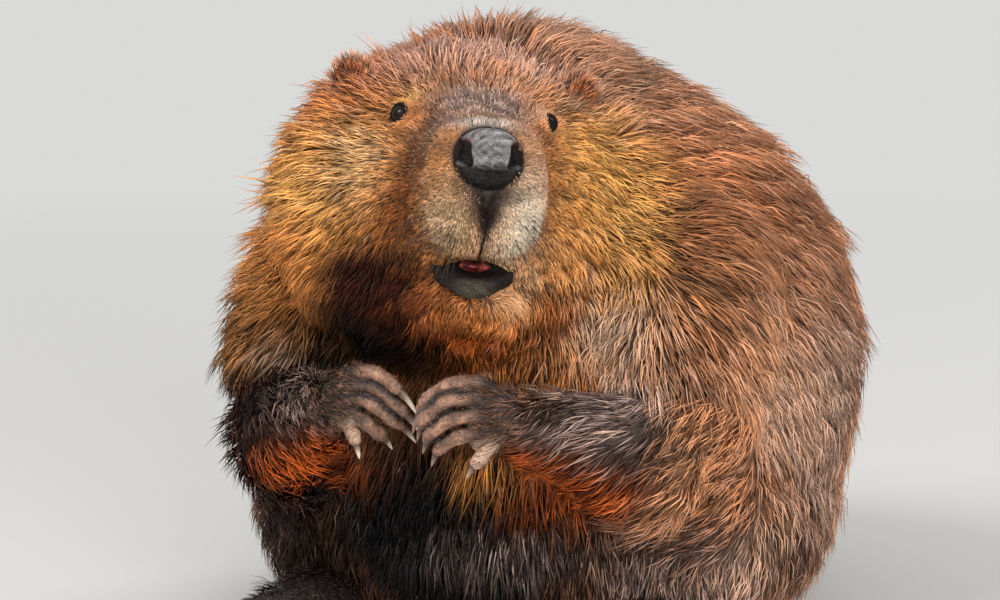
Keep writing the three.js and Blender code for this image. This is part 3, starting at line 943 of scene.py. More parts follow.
def shape_face(mesh):
    """Bulges the lips and brows out of the skin, sinks the cleft and the mouth, and shapes the lids.

    A lid lies just over the eyeball: inside the opening the skin drops under the eyeball's surface, at its
    edge it stands a lid's thickness above it, and from there it eases out into the face.
    """
    points, normals = points_of(mesh), normals_of(mesh)
    local = to_head(points)
    front = step(-26, -44, local[:, 1])
    swell = np.zeros(len(points))
    for _, side in SIDES:
        swell += 3.6 * bell(local, mirrored(LIP_PAD[0], side), LIP_PAD[1]) * front
        for height, centre, radii in EYE_RELIEF:
            swell += height * bell(local, mirrored(centre, side), radii)
    cleft = np.exp(-(local[:, 0] / 2.3) ** 2) * step(-46, -54, local[:, 2]) * front
    swell -= 4.4 * cleft
    swell -= 3.0 * np.clip(1.3 * bell(local, *MOUTH), 0, 1) * step(-30, -40, local[:, 1])
    local = to_head(points + swell[:, None] * normals)
    for _, side in SIDES:
        centre, axes = eye_frame(side)
        eye, gap = to_eye(local, side)
        lateral = np.hypot(eye[:, 0], eye[:, 1])
        ball = np.sqrt(np.maximum(EYE_RADIUS**2 - lateral**2, 0))
        dome = np.sqrt(np.maximum((EYE_RADIUS + LID_THICKNESS) ** 2 - lateral**2, 0))
        lid = mixed(dome, ball - 1.8, 1 - step(0.86, 1.08, gap))
        near = (np.abs(eye[:, 2]) < 16) & (lateral < 13.5)
        eye[:, 2] = np.where(near, mixed(lid, eye[:, 2], step(6.6, 13.5, lateral)), eye[:, 2])
        local = np.where(near[:, None], eye @ axes + centre, local)
    place_points(mesh, from_head(local))


def bare_shares(points):
    """How far each point of the skin belongs to the mouth, the cleft of the lips and the lids, 0 to 1."""
    local = to_head(points)
    mouth = np.clip(1.6 * bell(local, *MOUTH), 0, 1) * step(-24, -34, local[:, 1])
    below_nose = -46 - local[:, 2]
    half = 1.0 + 1.2 * np.exp(-np.maximum(below_nose, 0) / 6)
    cleft = (1 - step(half - 0.6, half + 0.9, np.abs(local[:, 0]))) * step(-38, -44, local[:, 2])
    cleft *= step(-36, -46, local[:, 1])
    nose_bed = 1 - step(0.98, 1.1, np.linalg.norm((local - NOSE_CENTRE) / NOSE_BED, axis=1))
    lids = np.zeros(len(points))
    for _, side in SIDES:
        eye, gap = to_eye(local, side)
        lids = np.maximum(lids, (1 - step(1.12, 1.35, gap)) * (np.abs(eye[:, 2]) < 14))
    return mouth, np.maximum(cleft, nose_bed), lids


def skin_colours(points):
    """The underfur's colour: the coat's colours darkened, with the bare places in their own colours.

    The darkening is partly the underfur's own and partly painted shade between the tufts; the mouth's
    tint is painted shade.
    """
    # a third of the coat's colour: darker underfur, and painted shade in the gaps between the tufts
    colour = markings_and_painted_light(points) * 0.32
    for share, bare in zip(bare_shares(points), BARE_TINTS):
        colour = mixed(colour, bare, share[:, None])
    return colour


def unwrapped(piece):
    """Unwraps the piece's own shape into islands that don't overlap, as the map OFBake."""
    bpy.ops.object.select_all(action="DESELECT")
    bpy.context.view_layer.objects.active = piece
    piece.select_set(True)
    piece.data.uv_layers.new(name="OFBake")
    bpy.ops.object.mode_set(mode="EDIT")
    bpy.ops.mesh.select_all(action="SELECT")
    bpy.ops.uv.smart_project(angle_limit=np.radians(60), island_margin=0.002)
    bpy.ops.object.mode_set(mode="OBJECT")


# ---- The coat.

TUFT_PROFILE = ((-0.5, 0.0), (0.5, 0.0), (0.0, 0.5))  # its section: across and off the skin
# the dark roots are partly the hairs' own darker bases and partly painted shade deep in the coat
TUFT_FADE = (0.26,) * 3 + (0.92,) * 3 + (1.3,)  # brightness at the seven points
TUFT_PATCH = 0.0013 * np.array([(-1, -1), (1, -1), (0, -0.6), (-1, 0.2), (1, 0.2), (0, 0.5), (0, 1)])
TUFT_FACES = np.array([(0, 1, 2)] + [face for j, k in ((0, 1), (1, 2), (2, 0))
                                     for face in ((k, j, j + 3), (k, j + 3, k + 3), (k + 3, j + 3, 6))])
BRIGHTEST = 0.9


class SkinSampler:
    """Picks roots at random over a mesh's triangles, with their normals and their place on its unwrap."""

    def __init__(self, piece):
        mesh = piece.data
        mesh.calc_loop_triangles()
        count = len(mesh.loop_triangles)
        corners, loops = np.empty(count * 3, np.int32), np.empty(count * 3, np.int32)
        mesh.loop_triangles.foreach_get("vertices", corners)
        mesh.loop_triangles.foreach_get("loops", loops)
        self.corners, self.loops = corners.reshape(-1, 3), loops.reshape(-1, 3)
        uv = np.empty(len(mesh.loops) * 2, np.float32)
        mesh.uv_layers["OFBake"].uv.foreach_get("vector", uv)
        self.uv = uv.reshape(-1, 2).astype(float)
        self.points, self.normals = points_of(mesh), normals_of(mesh)
        a, b, c = (self.points[self.corners[:, k]] for k in range(3))
        self.centres = (a + b + c) / 3
        self.areas = np.linalg.norm(np.cross(b - a, c - a), axis=1) / 2

    def roots(self, count, weight):
        """count roots, spread by area times the weight of each triangle."""
        odds = self.areas * weight
        pick = rng.choice(len(odds), count, p=odds / odds.sum())
        share = rng.dirichlet((1, 1, 1), count)
        mixed = [(share[:, :, None] * values[index[pick]]).sum(1)
                 for values, index in ((self.points, self.corners), (self.normals, self.corners),
                                       (self.uv, self.loops))]
        return mixed[0], unit(mixed[1]), mixed[2]


def clump_of(points, size):
    """The nearest of a jittered lattice of clump centres to each point, and a random number from it."""
    cell = np.floor(points / size).astype(np.int64)
    best = np.full(len(points), np.inf)
    centre = np.zeros_like(points)
    number = np.zeros(len(points))
    for shift in np.ndindex(3, 3, 3):
        near = cell + np.array(shift) - 1
        code = (near @ np.array([73856093, 19349663, 83492791])) & 0x7FFFFFFF
        jitter = np.stack([((code * k) % 10007) / 10007 for k in (7919, 104729, 15485863)], 1)
        trial = (near + jitter) * size
        distance = ((points - trial) ** 2).sum(1)
        closer = distance < best
        best = np.where(closer, distance, best)
        centre = np.where(closer[:, None], trial, centre)
        number = np.where(closer, ((code * 6151) % 9973) / 9973, number)
    return centre, number


@dataclass
class Pelt:
    """How a coat grows. What varies over the skin is a function of the roots; lengths are in millimetres."""

    length: object
    lie: object  # a function of the roots and their normals
    colour: object
    width: object
    clump: float = CLUMP  # the distance between the locks' centres
    rise: tuple = (28, 8)  # degrees from the skin in a tuft's lower and upper half
    gather: float = 0.55  # how far the tips of a lock come together
    wet: object = even(0.3)
    lift: object = even(0.0)  # degrees added to rise
    # pale hairs are partly the coat's own pale tips and partly painted highlights on wet locks
    pale_and_highlight: object = even(0.08)  # the share of pale hairs
    pepper: object = even(0.08)  # the share of dark hairs
    room: object = even(np.inf)  # how far the tips may stand off the skin
    mottle: object = even(0.62)  # how far locks differ in brightness


def tuft_points(root, normal, centre, number, pelt):
    """The seven points of each tuft, and its length.

    A tuft is a three-sided spike: a ring at the root under the skin, a ring halfway and the tip. It grows
    along the lie of the coat, lifted by the first angle of `rise` in its lower half and the second in its
    upper. The tips of one clump gather towards its centre by the share `gather`.
    """
    count = len(root)
    length = pelt.length(root) * rng.uniform(0.7, 1.2, count) * (0.85 + 0.3 * number)
    flow = pelt.lie(root, normal)
    swing = (0.34 * (number - 0.5) + 0.16 * rng.normal(size=count))[:, None]
    flow = unit(flow + swing * np.cross(flow, normal))
    side = unit(np.cross(flow, normal))
    lift = pelt.lift(root) + 8 * (number - 0.5)
    tilt = [np.radians(angle + lift + 7 * rng.normal(size=count))[:, None] for angle in pelt.rise]
    half_length = length[:, None] * 0.5
    low = root - normal * np.minimum(1.2, 0.3 * length)[:, None]
    half = root + half_length * (np.cos(tilt[0]) * flow + np.sin(tilt[0]) * normal)
    tip = half + half_length * (np.cos(tilt[1]) * flow + np.sin(tilt[1]) * normal)
    pull = centre - root
    pull -= (pull * normal).sum(1, keepdims=True) * normal
    pull *= np.minimum(1, 0.5 * length / pelt.clump)[:, None] * pelt.gather
    half = half + 0.6 * pull
    tip = tip + pull
    over = ((tip - root) * normal).sum(1) - pelt.room(root) * rng.uniform(0.7, 1.3, count)
    tip = tip - np.maximum(over, 0)[:, None] * normal
    for place in (half, tip):
        place[:, 2] = np.maximum(place[:, 2], 0.6)
    width = pelt.width(root)[:, None] * rng.uniform(0.75, 1.25, (count, 1))
    rings = [place + width * size * (x * side + y * normal)
             for place, size in ((low, 1.0), (half, 0.85)) for x, y in TUFT_PROFILE]
    return np.stack([*rings, tip], 1), length


def tuft_colours(root, number, length, wet, pelt):
    """The colour at the seven points of each tuft: dark at the root, partly as painted shade deep in
    the coat, and brightest at the tip.

    Locks differ by the pelt's mottle and hairs by a little more. Some hairs are pale and some are dark, by
    the shares that the pelt gives, and the pale ones keep to certain locks. The pale hairs are partly the
    coat's own pale tips and partly painted highlights on wet locks.
    """
    count = len(root)
    lock = 0.95 + pelt.mottle(root) * (number - 0.5)
    shade = pelt.colour(root) * (lock * np.exp(0.26 * rng.normal(size=count)))[:, None]
    shade *= 1 + rng.normal(size=(count, 1)) * np.array([0.05, 0.0, -0.08])
    dice = rng.random((2, count))
    often = pelt.pale_and_highlight(root)
    pale = (0.5 * dice[0] + 0.5 * (13.7 * number % 1) < often) * (0.5 + often) * (1 - 0.3 * wet)
    pale = pale[:, None] * rng.uniform(0.4, 1.0, (count, 1))
    light = 0.5 * np.array(PALE_HAIR_AND_HIGHLIGHT) + 0.34 * shade / shade.max(1, keepdims=True)
    shade = mixed(shade, light, pale)
    shade *= np.where(dice[1] < pelt.pepper(root), 0.3, 1)[:, None]
    shade = np.maximum(shade, 0.0015)
    fade = np.tile(TUFT_FADE, (count, 1))
    # short hairs get lighter roots: less painted shade in a shallow coat
    fade[:, :3] += 0.5 * step(9, 4, length)[:, None]
    colours = shade[:, None] * fade[..., None]
    return colours / np.maximum(1, colours.max(-1, keepdims=True) / BRIGHTEST)


def grow(name, sampler, count, weight, pelt, material):
    """A piece of coat: a count of tufts over a surface, spread by weight, each with its patch of the map."""
    root, normal, uv = sampler.roots(count, weight)
    centre, number = clump_of(root, pelt.clump)
    points, length = tuft_points(root, normal, centre, number, pelt)
    faces = TUFT_FACES[None] + 7 * np.arange(count)[:, None, None]
    piece = mesh_object(name, points.reshape(-1, 3), faces.reshape(-1, 3), material)
    wet = pelt.wet(root)
    paint(piece.data, "coat", tuft_colours(root, number, length, wet, pelt).reshape(-1, 3))
    stored(piece.data, "wet", np.repeat(wet, 7))
    corner = (uv[:, None] + TUFT_PATCH[None]).reshape(-1, 2)
    layer = piece.data.uv_layers.new(name="OFBake")
    layer.uv.foreach_set("vector", np.clip(corner, 0, 1)[faces.reshape(-1)].astype(np.float32).ravel())
    return kept(piece, "fur")


# ---- Eyes.

LID_TINT = linear(15, 9, 7)


def eyeball(label, side, material):
    """A sphere with a bulge of half a millimetre, exp(-(angle / 0.5)^2), over the pupil."""
    centre, axes = eye_frame(side)
    polar = np.linspace(0, np.pi, 40)
    radius = EYE_RADIUS + 0.5 * np.exp(-(polar / 0.5) ** 2)
    points, faces = outward(*shell(sphere_grid(polar, 48) * radius[:, None, None]))
    piece = mesh_object("eyeball_" + label, from_head(points @ axes + centre), faces, material)
    stored(piece.data, "polar", np.arccos(np.clip(points[:, 2] / np.linalg.norm(points, axis=1), -1, 1)))
    return kept(piece, "eye", "eye_" + label)


def lid_rim(label, side, material):
    """The wet rim of the lids: a thin ring carried round the opening just above the eyeball.

    The ring's centre is (w cos u, h sin u) across and up, drawn to a corner at the nose's side, at the
    height of the eyeball's surface there plus half a millimetre; its section is a circle.
    """
    centre, axes = eye_frame(side)
    u = np.linspace(0, 2 * np.pi, 72, endpoint=False)[:, None]
    v = np.linspace(0, 2 * np.pi, 12, endpoint=False)[None]
    size = 1.02 + 0.16 * np.exp(-((np.cos(u) + side) / 0.12) ** 2)
    x = EYE_OPENING[side][0] * size * np.cos(u)
    y = EYE_OPENING[side][1] * size * np.sin(u) * (1 - 0.12 * np.cos(u) ** 2)
    thick = 0.8 + 0.25 * np.sin(u)
    lateral = np.hypot(x, y)
    height = np.sqrt(np.maximum(EYE_RADIUS**2 - lateral**2, 0)) + 0.45
    grid = np.stack([x + thick * np.cos(v) * x / lateral, y + thick * np.cos(v) * y / lateral,
                     height + thick * np.sin(v)], -1)
    points, faces = outward(*ring_shell(grid))
    piece = mesh_object("lid_rim_" + label, from_head(points @ axes + centre), faces, material)
    paint(piece.data, "tint", np.tile(LID_TINT, (len(points), 1)))
    return kept(piece, "lip_skin")


# ---- Nose and mouth.

NOSE_CENTRE = np.array([0.0, -64, -28.5])
NOSE_SIZE = (18.4, 17.4, 17.0)  # half width, half height and depth ahead of the centre
NOSTRIL = np.array([[15.8, 5.6], [15.4, 0.8], [12.0, -4.0]])  # its line, out and up from the centre
NOSTRIL_RADII = np.array([3.9, 3.7, 1.8])
NOSTRIL_FOLD = ((13.6, -12, 8.4), (3.0, 9, 2.0))
NOSE_GREYS = (linear(86, 82, 83), linear(152, 148, 148))
NOSE_EDGE = linear(66, 58, 58)
NOSE_STEP = linear(18, 11, 9)
# painted shade inside the nostrils
NOSTRIL_SHADE = linear(10, 5, 4)
NOSTRIL_PINK = linear(158, 96, 92)
LIP_GREY = linear(74, 68, 54)
# this and the next: painted shade at the lower lip's corners and along its top edge, by the mouth
LIP_CORNER_SHADE = linear(26, 17, 12)
LIP_TOP_SHADE = linear(20, 11, 9)
# painted shade inside the mouth: near-black in front, darker deep inside
MOUTH_SHADES = (linear(28, 13, 10), linear(12, 5, 4))  # in front and deep inside


def nostril_share(x, z):
    """1 in the middle of a nostril, falling to 0 at its edge: a comma of balls strung along its line."""
    best = np.zeros_like(x)
    shares = np.linspace(0, 1, 12)
    line, radii = through(NOSTRIL, shares), through(NOSTRIL_RADII[:, None], shares)[:, 0]
    for (px, pz), radius in zip(line, radii):
        best = np.maximum(best, np.exp(-(((np.abs(x) - px) ** 2 + (z - pz) ** 2) / radius**2) ** 2))
    return best


def nose_shape():
    """A superellipsoid narrower at its foot, with comma-shaped nostrils sunk in its sides.

    The front is a pebbled shield. Below it the surface steps back into the cleft that runs to the lip. Gives
    points, faces, and at each point its share of a nostril and of the step, and how far it faces ahead.
    """
    t = np.linspace(0, 1, 120)
    d = sphere_grid(np.pi * (0.62 * t + 0.38 * t**3), 180)
    d /= (np.abs(d) ** 2.5).sum(-1, keepdims=True) ** (1 / 2.5)
    ahead = d[..., 2]
    x, z = d[..., 0] * NOSE_SIZE[0], d[..., 1] * NOSE_SIZE[1]
    y = -ahead * np.where(ahead > 0, NOSE_SIZE[2], 10)
    x = x * (1 - 0.16 * step(-2, -20, z)) * (1 - 0.10 * step(8, 20, z))
    front = step(0.05, 0.5, ahead)
    pit = nostril_share(x, z) * step(-0.1, 0.15, ahead)
    rim = np.clip(nostril_share(x / 1.22, z / 1.22 - 0.3) - pit, 0, 1)
    under = step(-4.6 + 0.006 * x**2, -7.6 + 0.006 * x**2, z) * front
    groove = np.exp(-(x / 0.9) ** 2) * step(4, -4, z) * front
    y = y + 7.5 * pit + 3.4 * under * (1 - 0.4 * np.abs(x) / 18) + 0.9 * groove - 0.9 * rim
    x = x - np.sign(x) * (3.5 * pit - 0.8 * rim)
    place = np.stack([x, y, z], -1).reshape(-1, 3)
    pebble = (0.2 * ripple(place, 3.0, 31) + 0.16 * ripple(place, 1.9, 34)).reshape(x.shape)
    y = y - pebble * (1 + 0.8 * under) * front * (1 - pit)
    points, faces = outward(*shell(np.stack([x, y, z], -1)))
    return points, faces, shell(np.stack([pit, under, ahead], -1))[0].T[..., None]


def nose(material):
    """The bare nose: mottled grey, darker at the edge and in the nostrils, pink in the folds over them.

    The nostrils' darkness is painted shade.
    """
    points, faces, (pit, under, ahead) = nose_shape()
    piece = mesh_object("nose_pad", from_head(points + NOSE_CENTRE), faces, material)
    colour = mixed(*NOSE_GREYS, 0.5 + 0.5 * ripple(points, 4.5, 33)[:, None])
    colour = mixed(colour, NOSE_EDGE, step(0.6, 0.1, ahead))
    colour = mixed(colour, NOSE_STEP, np.clip(under, 0, 1))
    colour = mixed(colour, NOSTRIL_SHADE, np.clip(pit * 1.5, 0, 1))
    colour = mixed(colour, NOSTRIL_PINK, 0.7 * np.clip(bells(points, *NOSTRIL_FOLD), 0, 1)[:, None])
    paint(piece.data, "tint", colour)
    return kept(piece, "nose_skin", "nose")


LIP_LINE = (  # the lower lip from corner to corner, with its half depth and half height
    (-22.5, -33, -86.5, 2.0, 1.8), (-19, -46, -92, 3.4, 4.2), (-3, -58, -99.2, 4.4, 6.0),
    (14, -50, -93.4, 3.2, 3.6), (21.5, -35, -87.2, 1.8, 1.6),
)


def lower_lip(material):
    """The bare lower lip: an elliptical section carried from corner to corner round the front of the jaw."""
    points, faces = tube(LIP_LINE, 40, 110, ends=(0.12, 0.12),
                         relief=lambda share, angle: 0.16 * np.sin(90 * share + 2 * np.sin(3 * angle)))
    piece = mesh_object("lip", from_head(points), faces, material)
    blotch = 1 + 0.25 * ripple(points, 5, 91) + 0.15 * ripple(points, 2.2, 92)
    # grey blotches, with painted shade towards the corners and along the top edge
    ends = step(3, 16, np.abs(points[:, 0] + 3))[:, None]
    colour = mixed(np.array(LIP_GREY) * blotch[:, None], LIP_CORNER_SHADE, ends)
    paint(piece.data, "tint", mixed(colour, LIP_TOP_SHADE, step(-98, -93, points[:, 2])[:, None]))
    return kept(piece, "lip_skin", "lower_lip")


TONGUE_LINE = ((-4, -60, -87.5, 5, 1.5), (-2, -50, -86.5, 8.5, 3.0), (0, -34, -85, 9, 3.6))


def mouth_lining(material):
    """The dark inside of the mouth: an ellipsoid whose front is pressed in to a hollow behind the lip.

    Its darkness is painted shade.
    """
    x, z, depth = np.moveaxis(sphere_grid(np.linspace(0, np.pi, 60), 90) * [22.5, 8.5, -15], -1, 0)
    y = depth + 9 * np.exp(-(x / 15) ** 2 - (z / 5) ** 2) * (depth < 0) + 9 * (x / 22.5) ** 2
    points, faces = outward(*shell(np.stack([x, y, z], -1)))
    points = points + [0, -40, -91]
    piece = mesh_object("mouth_inside", from_head(points), faces, material)
    paint(piece.data, "tint", mixed(*MOUTH_SHADES, step(-60, -40, points[:, 1])[:, None]))
    return kept(piece, "lip_skin")


def tongue(material):
    """The tongue: an elliptical section carried back along the mouth, with a groove down its middle."""
    points, faces = tube(TONGUE_LINE, 48, 60, axes=((1, 0, 0), (0, 0, 1)), ends=(0.4, 0.3),
                         relief=lambda share, angle: -1.1 * np.exp(-((angle - np.pi / 2) / 0.3) ** 2)
                         + 0.25 * np.sin(60 * share) * np.sin(5 * angle))
    return kept(mesh_object("tongue_tip", from_head(points), faces, material), "tongue", "tongue")


# ---- Ears.

EAR_BACK = linear(96, 60, 42)
EAR_INSIDE = linear(60, 40, 34)
EAR_FUR = linear(180, 112, 74)
EAR_FRINGE = linear(198, 152, 122)


def ear(label, side, material):
    """A round cup: a bowl out to a rolled rim, and the ellipsoid of its back behind it."""
    share = np.linspace(0, 1, 46)[:, None]
    around = np.linspace(0, 2 * np.pi, 72, endpoint=False)[None]
    bowl = np.clip(share / 0.42, 0, 1)
    back = np.clip((share - 0.42) / 0.58, 0, 1)
    radius = np.where(share < 0.42, 0.9 * bowl, 0.9 + 0.1 * np.sin(np.minimum(back * 6, 1) * np.pi / 2))
    radius = np.where(back > 1 / 6, np.cos((back - 1 / 6) / (5 / 6) * np.pi / 2) ** 0.8, radius)
    depth = np.where(share < 0.42, 2.5 - 5.5 * bowl**2.5, -3 + 8.5 * back**0.9)
    fold = 0.8 * np.sin(3 * around + 1) * bowl * (share < 0.42)
    grid = np.stack([12 * radius * np.cos(around), depth + fold, 12.5 * radius * np.sin(around)], -1)
    tilt = turn(0, -0.35) @ turn(1, side * 0.5) @ turn(2, side * 0.55)
    points, faces = shell(grid)
    placed = from_head(points @ tilt.T + mirrored(EAR_PLACE, side))
    piece = mesh_object("ear_shell_" + label, *outward(placed, faces), material)
    inside = step(2, -2.5, points[:, 1]) * (np.hypot(points[:, 0], points[:, 2]) < 12)
    paint(piece.data, "coat", mixed(EAR_BACK, EAR_INSIDE, inside[:, None]))
    unwrapped(piece)
    return kept(piece, "fur", "ear_" + label)


def ear_pelt(side):
    """Short fur over the ear, lying out to its rim, with a paler fringe."""
    centre = from_head(mirrored(EAR_PLACE, side))
    up = np.array([0.25 * side, 0.25, 1.0]) @ HEAD_TURN.T

    def lie(points, normals):
        return laid(unit(points - centre) + 0.8 * up, normals)

    def colour(points):
        return mixed(EAR_FUR, EAR_FRINGE, step(8, 14, np.linalg.norm(points - centre, axis=1))[:, None])

    return Pelt(even(8.0), lie, colour, even(0.55), clump=4, rise=(30, 12))


# ---- Forepaws.

PAW_LENGTH = 50
DIGIT_RADIUS = 4.7
THUMB = 4
# painted shade between the digits, then a painted highlight along the middle of each digit
PAW_SHADE = linear(40, 26, 20)
PAW_RIDGE_HIGHLIGHT = linear(160, 118, 94)
PAW_TIP = linear(164, 128, 112)
THUMB_TINT = linear(212, 172, 146)
PAW_HAIR = linear(104, 76, 60)
DIGITS = {  # steps from the wrist to the joints of each digit, from inside the palm to the tip; thumb last
    -1: (
        ((-4, 1, 9), (-14, 0, 19), (-27, -1, 20), (-38, -2, 15), (-45, -3, 10)),
        ((-5, 1, 5), (-15, 0, 12), (-28, -1, 11), (-38, 0, 4), (-46, 3, -4)),
        ((-5, 0, 1), (-15, -1, 5), (-27, -2, 2), (-35, 1, -5), (-41, 8, -12)),
        ((-5, 0, -2), (-13, -2, -3), (-22, -3, -8), (-27, 3, -15), (-28, 10, -19)),
        ((-3, 1, -3), (-9, -1, -10), (-14, -2, -16), (-16, -2, -22)),
    ),
    1: (
        ((-6, -1, 9), (-15, -10, 20), (-30, -18, 20), (-44, -19, 11), (-51, -14, 2)),
        ((-6, -2, 4), (-16, -13, 12), (-31, -21, 11), (-44, -22, 1), (-50, -15, -6)),
        ((-6, -3, 0), (-15, -14, 3), (-29, -21, 1), (-41, -21, -8), (-47, -14, -14)),
        ((-5, -3, -4), (-13, -13, -6), (-25, -19, -9), (-36, -18, -15), (-42, -12, -21)),
        ((-4, -3, -7), (-9, -8, -14), (-15, -13, -22), (-19, -14, -27)),
    ),
}
PALMS = {  # steps from the wrist along the palm, with its half thickness and half width
    -1: ((-6, 0, 1, 11, 16), (-13, -1, 2, 9, 17), (-19, -2, 2, 6, 15)),
    1: ((-8, -5, 0, 11, 17), (-17, -11, 0, 9, 18), (-24, -15, 0, 6, 16)),
}
FORE_CLAW_LENGTHS = (15, 12, 12, 12, 8)


def fore_digit(side, finger):
    """The joints of one fore digit; the right paw reaches out, the left paw's digits curl."""
    return mirrored(WRIST + np.array(DIGITS[side][finger], float), side)


def with_knuckles(joints, radius, taper):
    """Stations along a digit: thicker at each joint, slimmer between, and tapering to the tip."""
    shares = np.linspace(0, 1, 2 * len(joints) - 1)
    line = through(joints, shares)
    size = radius * (1.05 - taper * shares) * (1 + 0.06 * np.cos(shares * (len(joints) - 1) * 2 * np.pi))
    return np.column_stack([line, size, size])


def to_line(points, joints):
    """The distance of each point from the nearest stretch of a line of joints."""
    return np.min([along(points, a, b)[1] for a, b in zip(joints[:-1], joints[1:])], axis=0)


def paw_reach(points, side):
    """How far each point is from the wrist towards the claws: 0 at the wrist, 1 near the tips."""
    return (points[:, 0] * side - WRIST[0]) / -PAW_LENGTH


def from_thumb(points, side):
    """The distance of each point from the thumb."""
    return to_line(points, fore_digit(side, THUMB)[1:])


def forepaw(label, side, material):
    """A forepaw: the palm and five digits as tubes, welded, with the skin's creases across the digits.

    It has a painted highlight along the middle of each digit and painted shade between the digits and on
    its upper faces, and is palest at the tips and on the thumb.
    """
    palm = [(*mirrored(WRIST + 0.04 * (ELBOW - WRIST), side), 13, 15)]
    palm += [(*mirrored(WRIST + at[:3], side), *at[3:]) for at in PALMS[side]]
    digits = [fore_digit(side, finger) for finger in range(5)]
    parts = [tube(palm, 40, 30, ends=(0.2, 0.3))]
    parts += [tube(with_knuckles(joints, DIGIT_RADIUS, 0.24), 20, 40, ends=(0.1, 0.16)) for joints in digits]
    piece = welded("paw_" + label, *joined(parts), 0.7, 1)
    points, normals = points_of(piece.data), normals_of(piece.data)
    reach = paw_reach(points, side)
    crease = np.sin(points[:, 0] * 2.1 + 1.5 * ripple(points, 9, 41)) * step(0.35, 0.7, reach)
    place_points(piece.data, points + (0.22 * crease + 0.2 * ripple(points, 5, 42))[:, None] * normals)
    piece.data.materials.append(material)
    nearest = np.sort([to_line(points, joints) for joints in digits], axis=0)
    # the painted highlight's share: along each digit's middle, away from the gaps between digits
    ridge_highlight = step(0.6, 5.0, nearest[1] - nearest[0]) * step(0.2, 0.5, reach)
    blotch = 0.5 + 0.5 * ripple(points, 13, 43)
    # mottled blotches; the left paw a tenth brighter and the right a tenth darker; painted shade on skin
    # facing up
    blotch_and_painted_shade = (0.55 + 0.75 * blotch) * (1 + 0.1 * side) * (1 - 0.4 * np.clip(normals[:, 2], 0, 1))
    colour = mixed(PAW_SHADE, PAW_RIDGE_HIGHLIGHT, ridge_highlight[:, None]) * blotch_and_painted_shade[:, None]
    colour = mixed(colour, PAW_TIP, 0.6 * step(0.8, 1.0, reach)[:, None])
    colour = mixed(colour, THUMB_TINT, 0.85 * step(12, 6, from_thumb(points, side))[:, None])
    paint(piece.data, "tint", colour)
    unwrapped(piece)
    return kept(piece, "paw_skin", "forepaw_" + label)


def paw_hairiness(points, side):
    """Where the paw's hair grows: thick at the wrist, thin along the digits and thinnest on the thumb."""
    reach = paw_reach(points, side)
    thick = (0.16 + 0.84 * step(0.5, 0.15, reach)) * step(1.0, 0.7, reach)
    return thick * (0.2 + 0.8 * step(6, 12, from_thumb(points, side)))


def paw_pelt(side):
    """Short stiff hair over the back of the paw, lying towards the digits."""
    return Pelt(lambda points: 3.0 + 7 * step(-22, 2, points[:, 0] * side - WRIST[0]),
                one_way(unit(mirrored([-0.95, -0.2, -0.1], side)), 20, 51),
                lambda points: np.array(PAW_HAIR) * (1 + 0.35 * ripple(points, 14, 54))[:, None],
                even(0.42), clump=4, rise=(22, 6), wet=even(0.8))


def claw(joints, length, radius):
    """A curved horn from a digit's last joint: ahead, bent down by 0.3 t^2 of its length, tapering."""
    ahead = unit(joints[-1] - joints[-2])
    t = np.array([0, 0.25, 0.5, 0.75, 1])[:, None]
    line = joints[-1] - 2 * ahead + ahead * length * t - np.array([0, 0, 1]) * length * 0.3 * t**2
    size = radius * (1 - 0.78 * t)
    points, faces = tube(np.hstack([line, size, size * 1.15]), 12, 16, ends=(0.1, 0.25))
    return points, faces, np.clip((points - joints[-1]) @ ahead / length + 0.13, 0, 1)


def claws(name, toes, lengths, radius, material, nodes):
    """The claws of one foot as one piece."""
    made = [claw(joints, length, radius) for joints, length in zip(toes, lengths)]
    points, faces = joined([(points, faces) for points, faces, _ in made])
    points[:, 2] = np.maximum(points[:, 2], 0.2)
    piece = mesh_object(name, points, faces, material)
    stored(piece.data, "reach", np.concatenate([reach for _, _, reach in made]))
    return kept(piece, "claw", *nodes)


# ---- Hind feet.

TOE_RADIUS = 7.345
TOE_STEPS = 24
WEB_COLUMNS = 81
WEB_ROWS = 40
INSTEP = (  # steps from the heel, height, half width and half thickness
    (0, 0, 18, 24, 20), (5, -45, 17, 29, 20), (12, -90, 14, 35, 17), (16, -112, 9, 37, 11),
)
FOOT_TINTS = (linear(58, 48, 44), linear(76, 64, 58))  # web and toes
INSTEP_TINT = linear(34, 24, 20)
FOOT_HAIR = linear(36, 25, 20)


def hind_toe(side, spread):
    """The three joints of one hind toe; the middle toes reach furthest."""
    bearing = np.radians(10 + spread * 11)
    reach = 82 * (1 - 0.06 * spread**2 + 0.03 * spread) * np.array([0, 0.5, 1])
    x = HEEL[0] + 14 + spread * 9 + np.sin(bearing) * reach
    y = HEEL[1] - 92 - np.cos(bearing) * reach
    return mirrored(np.column_stack([x, y, [11, 9, 5.5]]), side)


def slab(top, bottom):
    """Two grids of the same size as the two faces of a plate, with walls between their borders."""
    rows, columns = top.shape[:2]
    index = np.arange(rows * columns).reshape(rows, columns)
    a, b, c, d = index[:-1, :-1], index[:-1, 1:], index[1:, 1:], index[1:, :-1]
    face = np.stack([a, b, c, d], -1).reshape(-1, 4)
    border = np.concatenate([index[0, :-1], index[:-1, -1], index[-1, :0:-1], index[:0:-1, 0]])
    ahead = np.roll(border, -1)
    count = rows * columns
    wall = np.stack([border, border + count, ahead + count, ahead], -1)
    points = np.vstack([top.reshape(-1, 3), bottom.reshape(-1, 3)])
    return outward(points, halved(np.vstack([face, face[:, ::-1] + count, wall])))


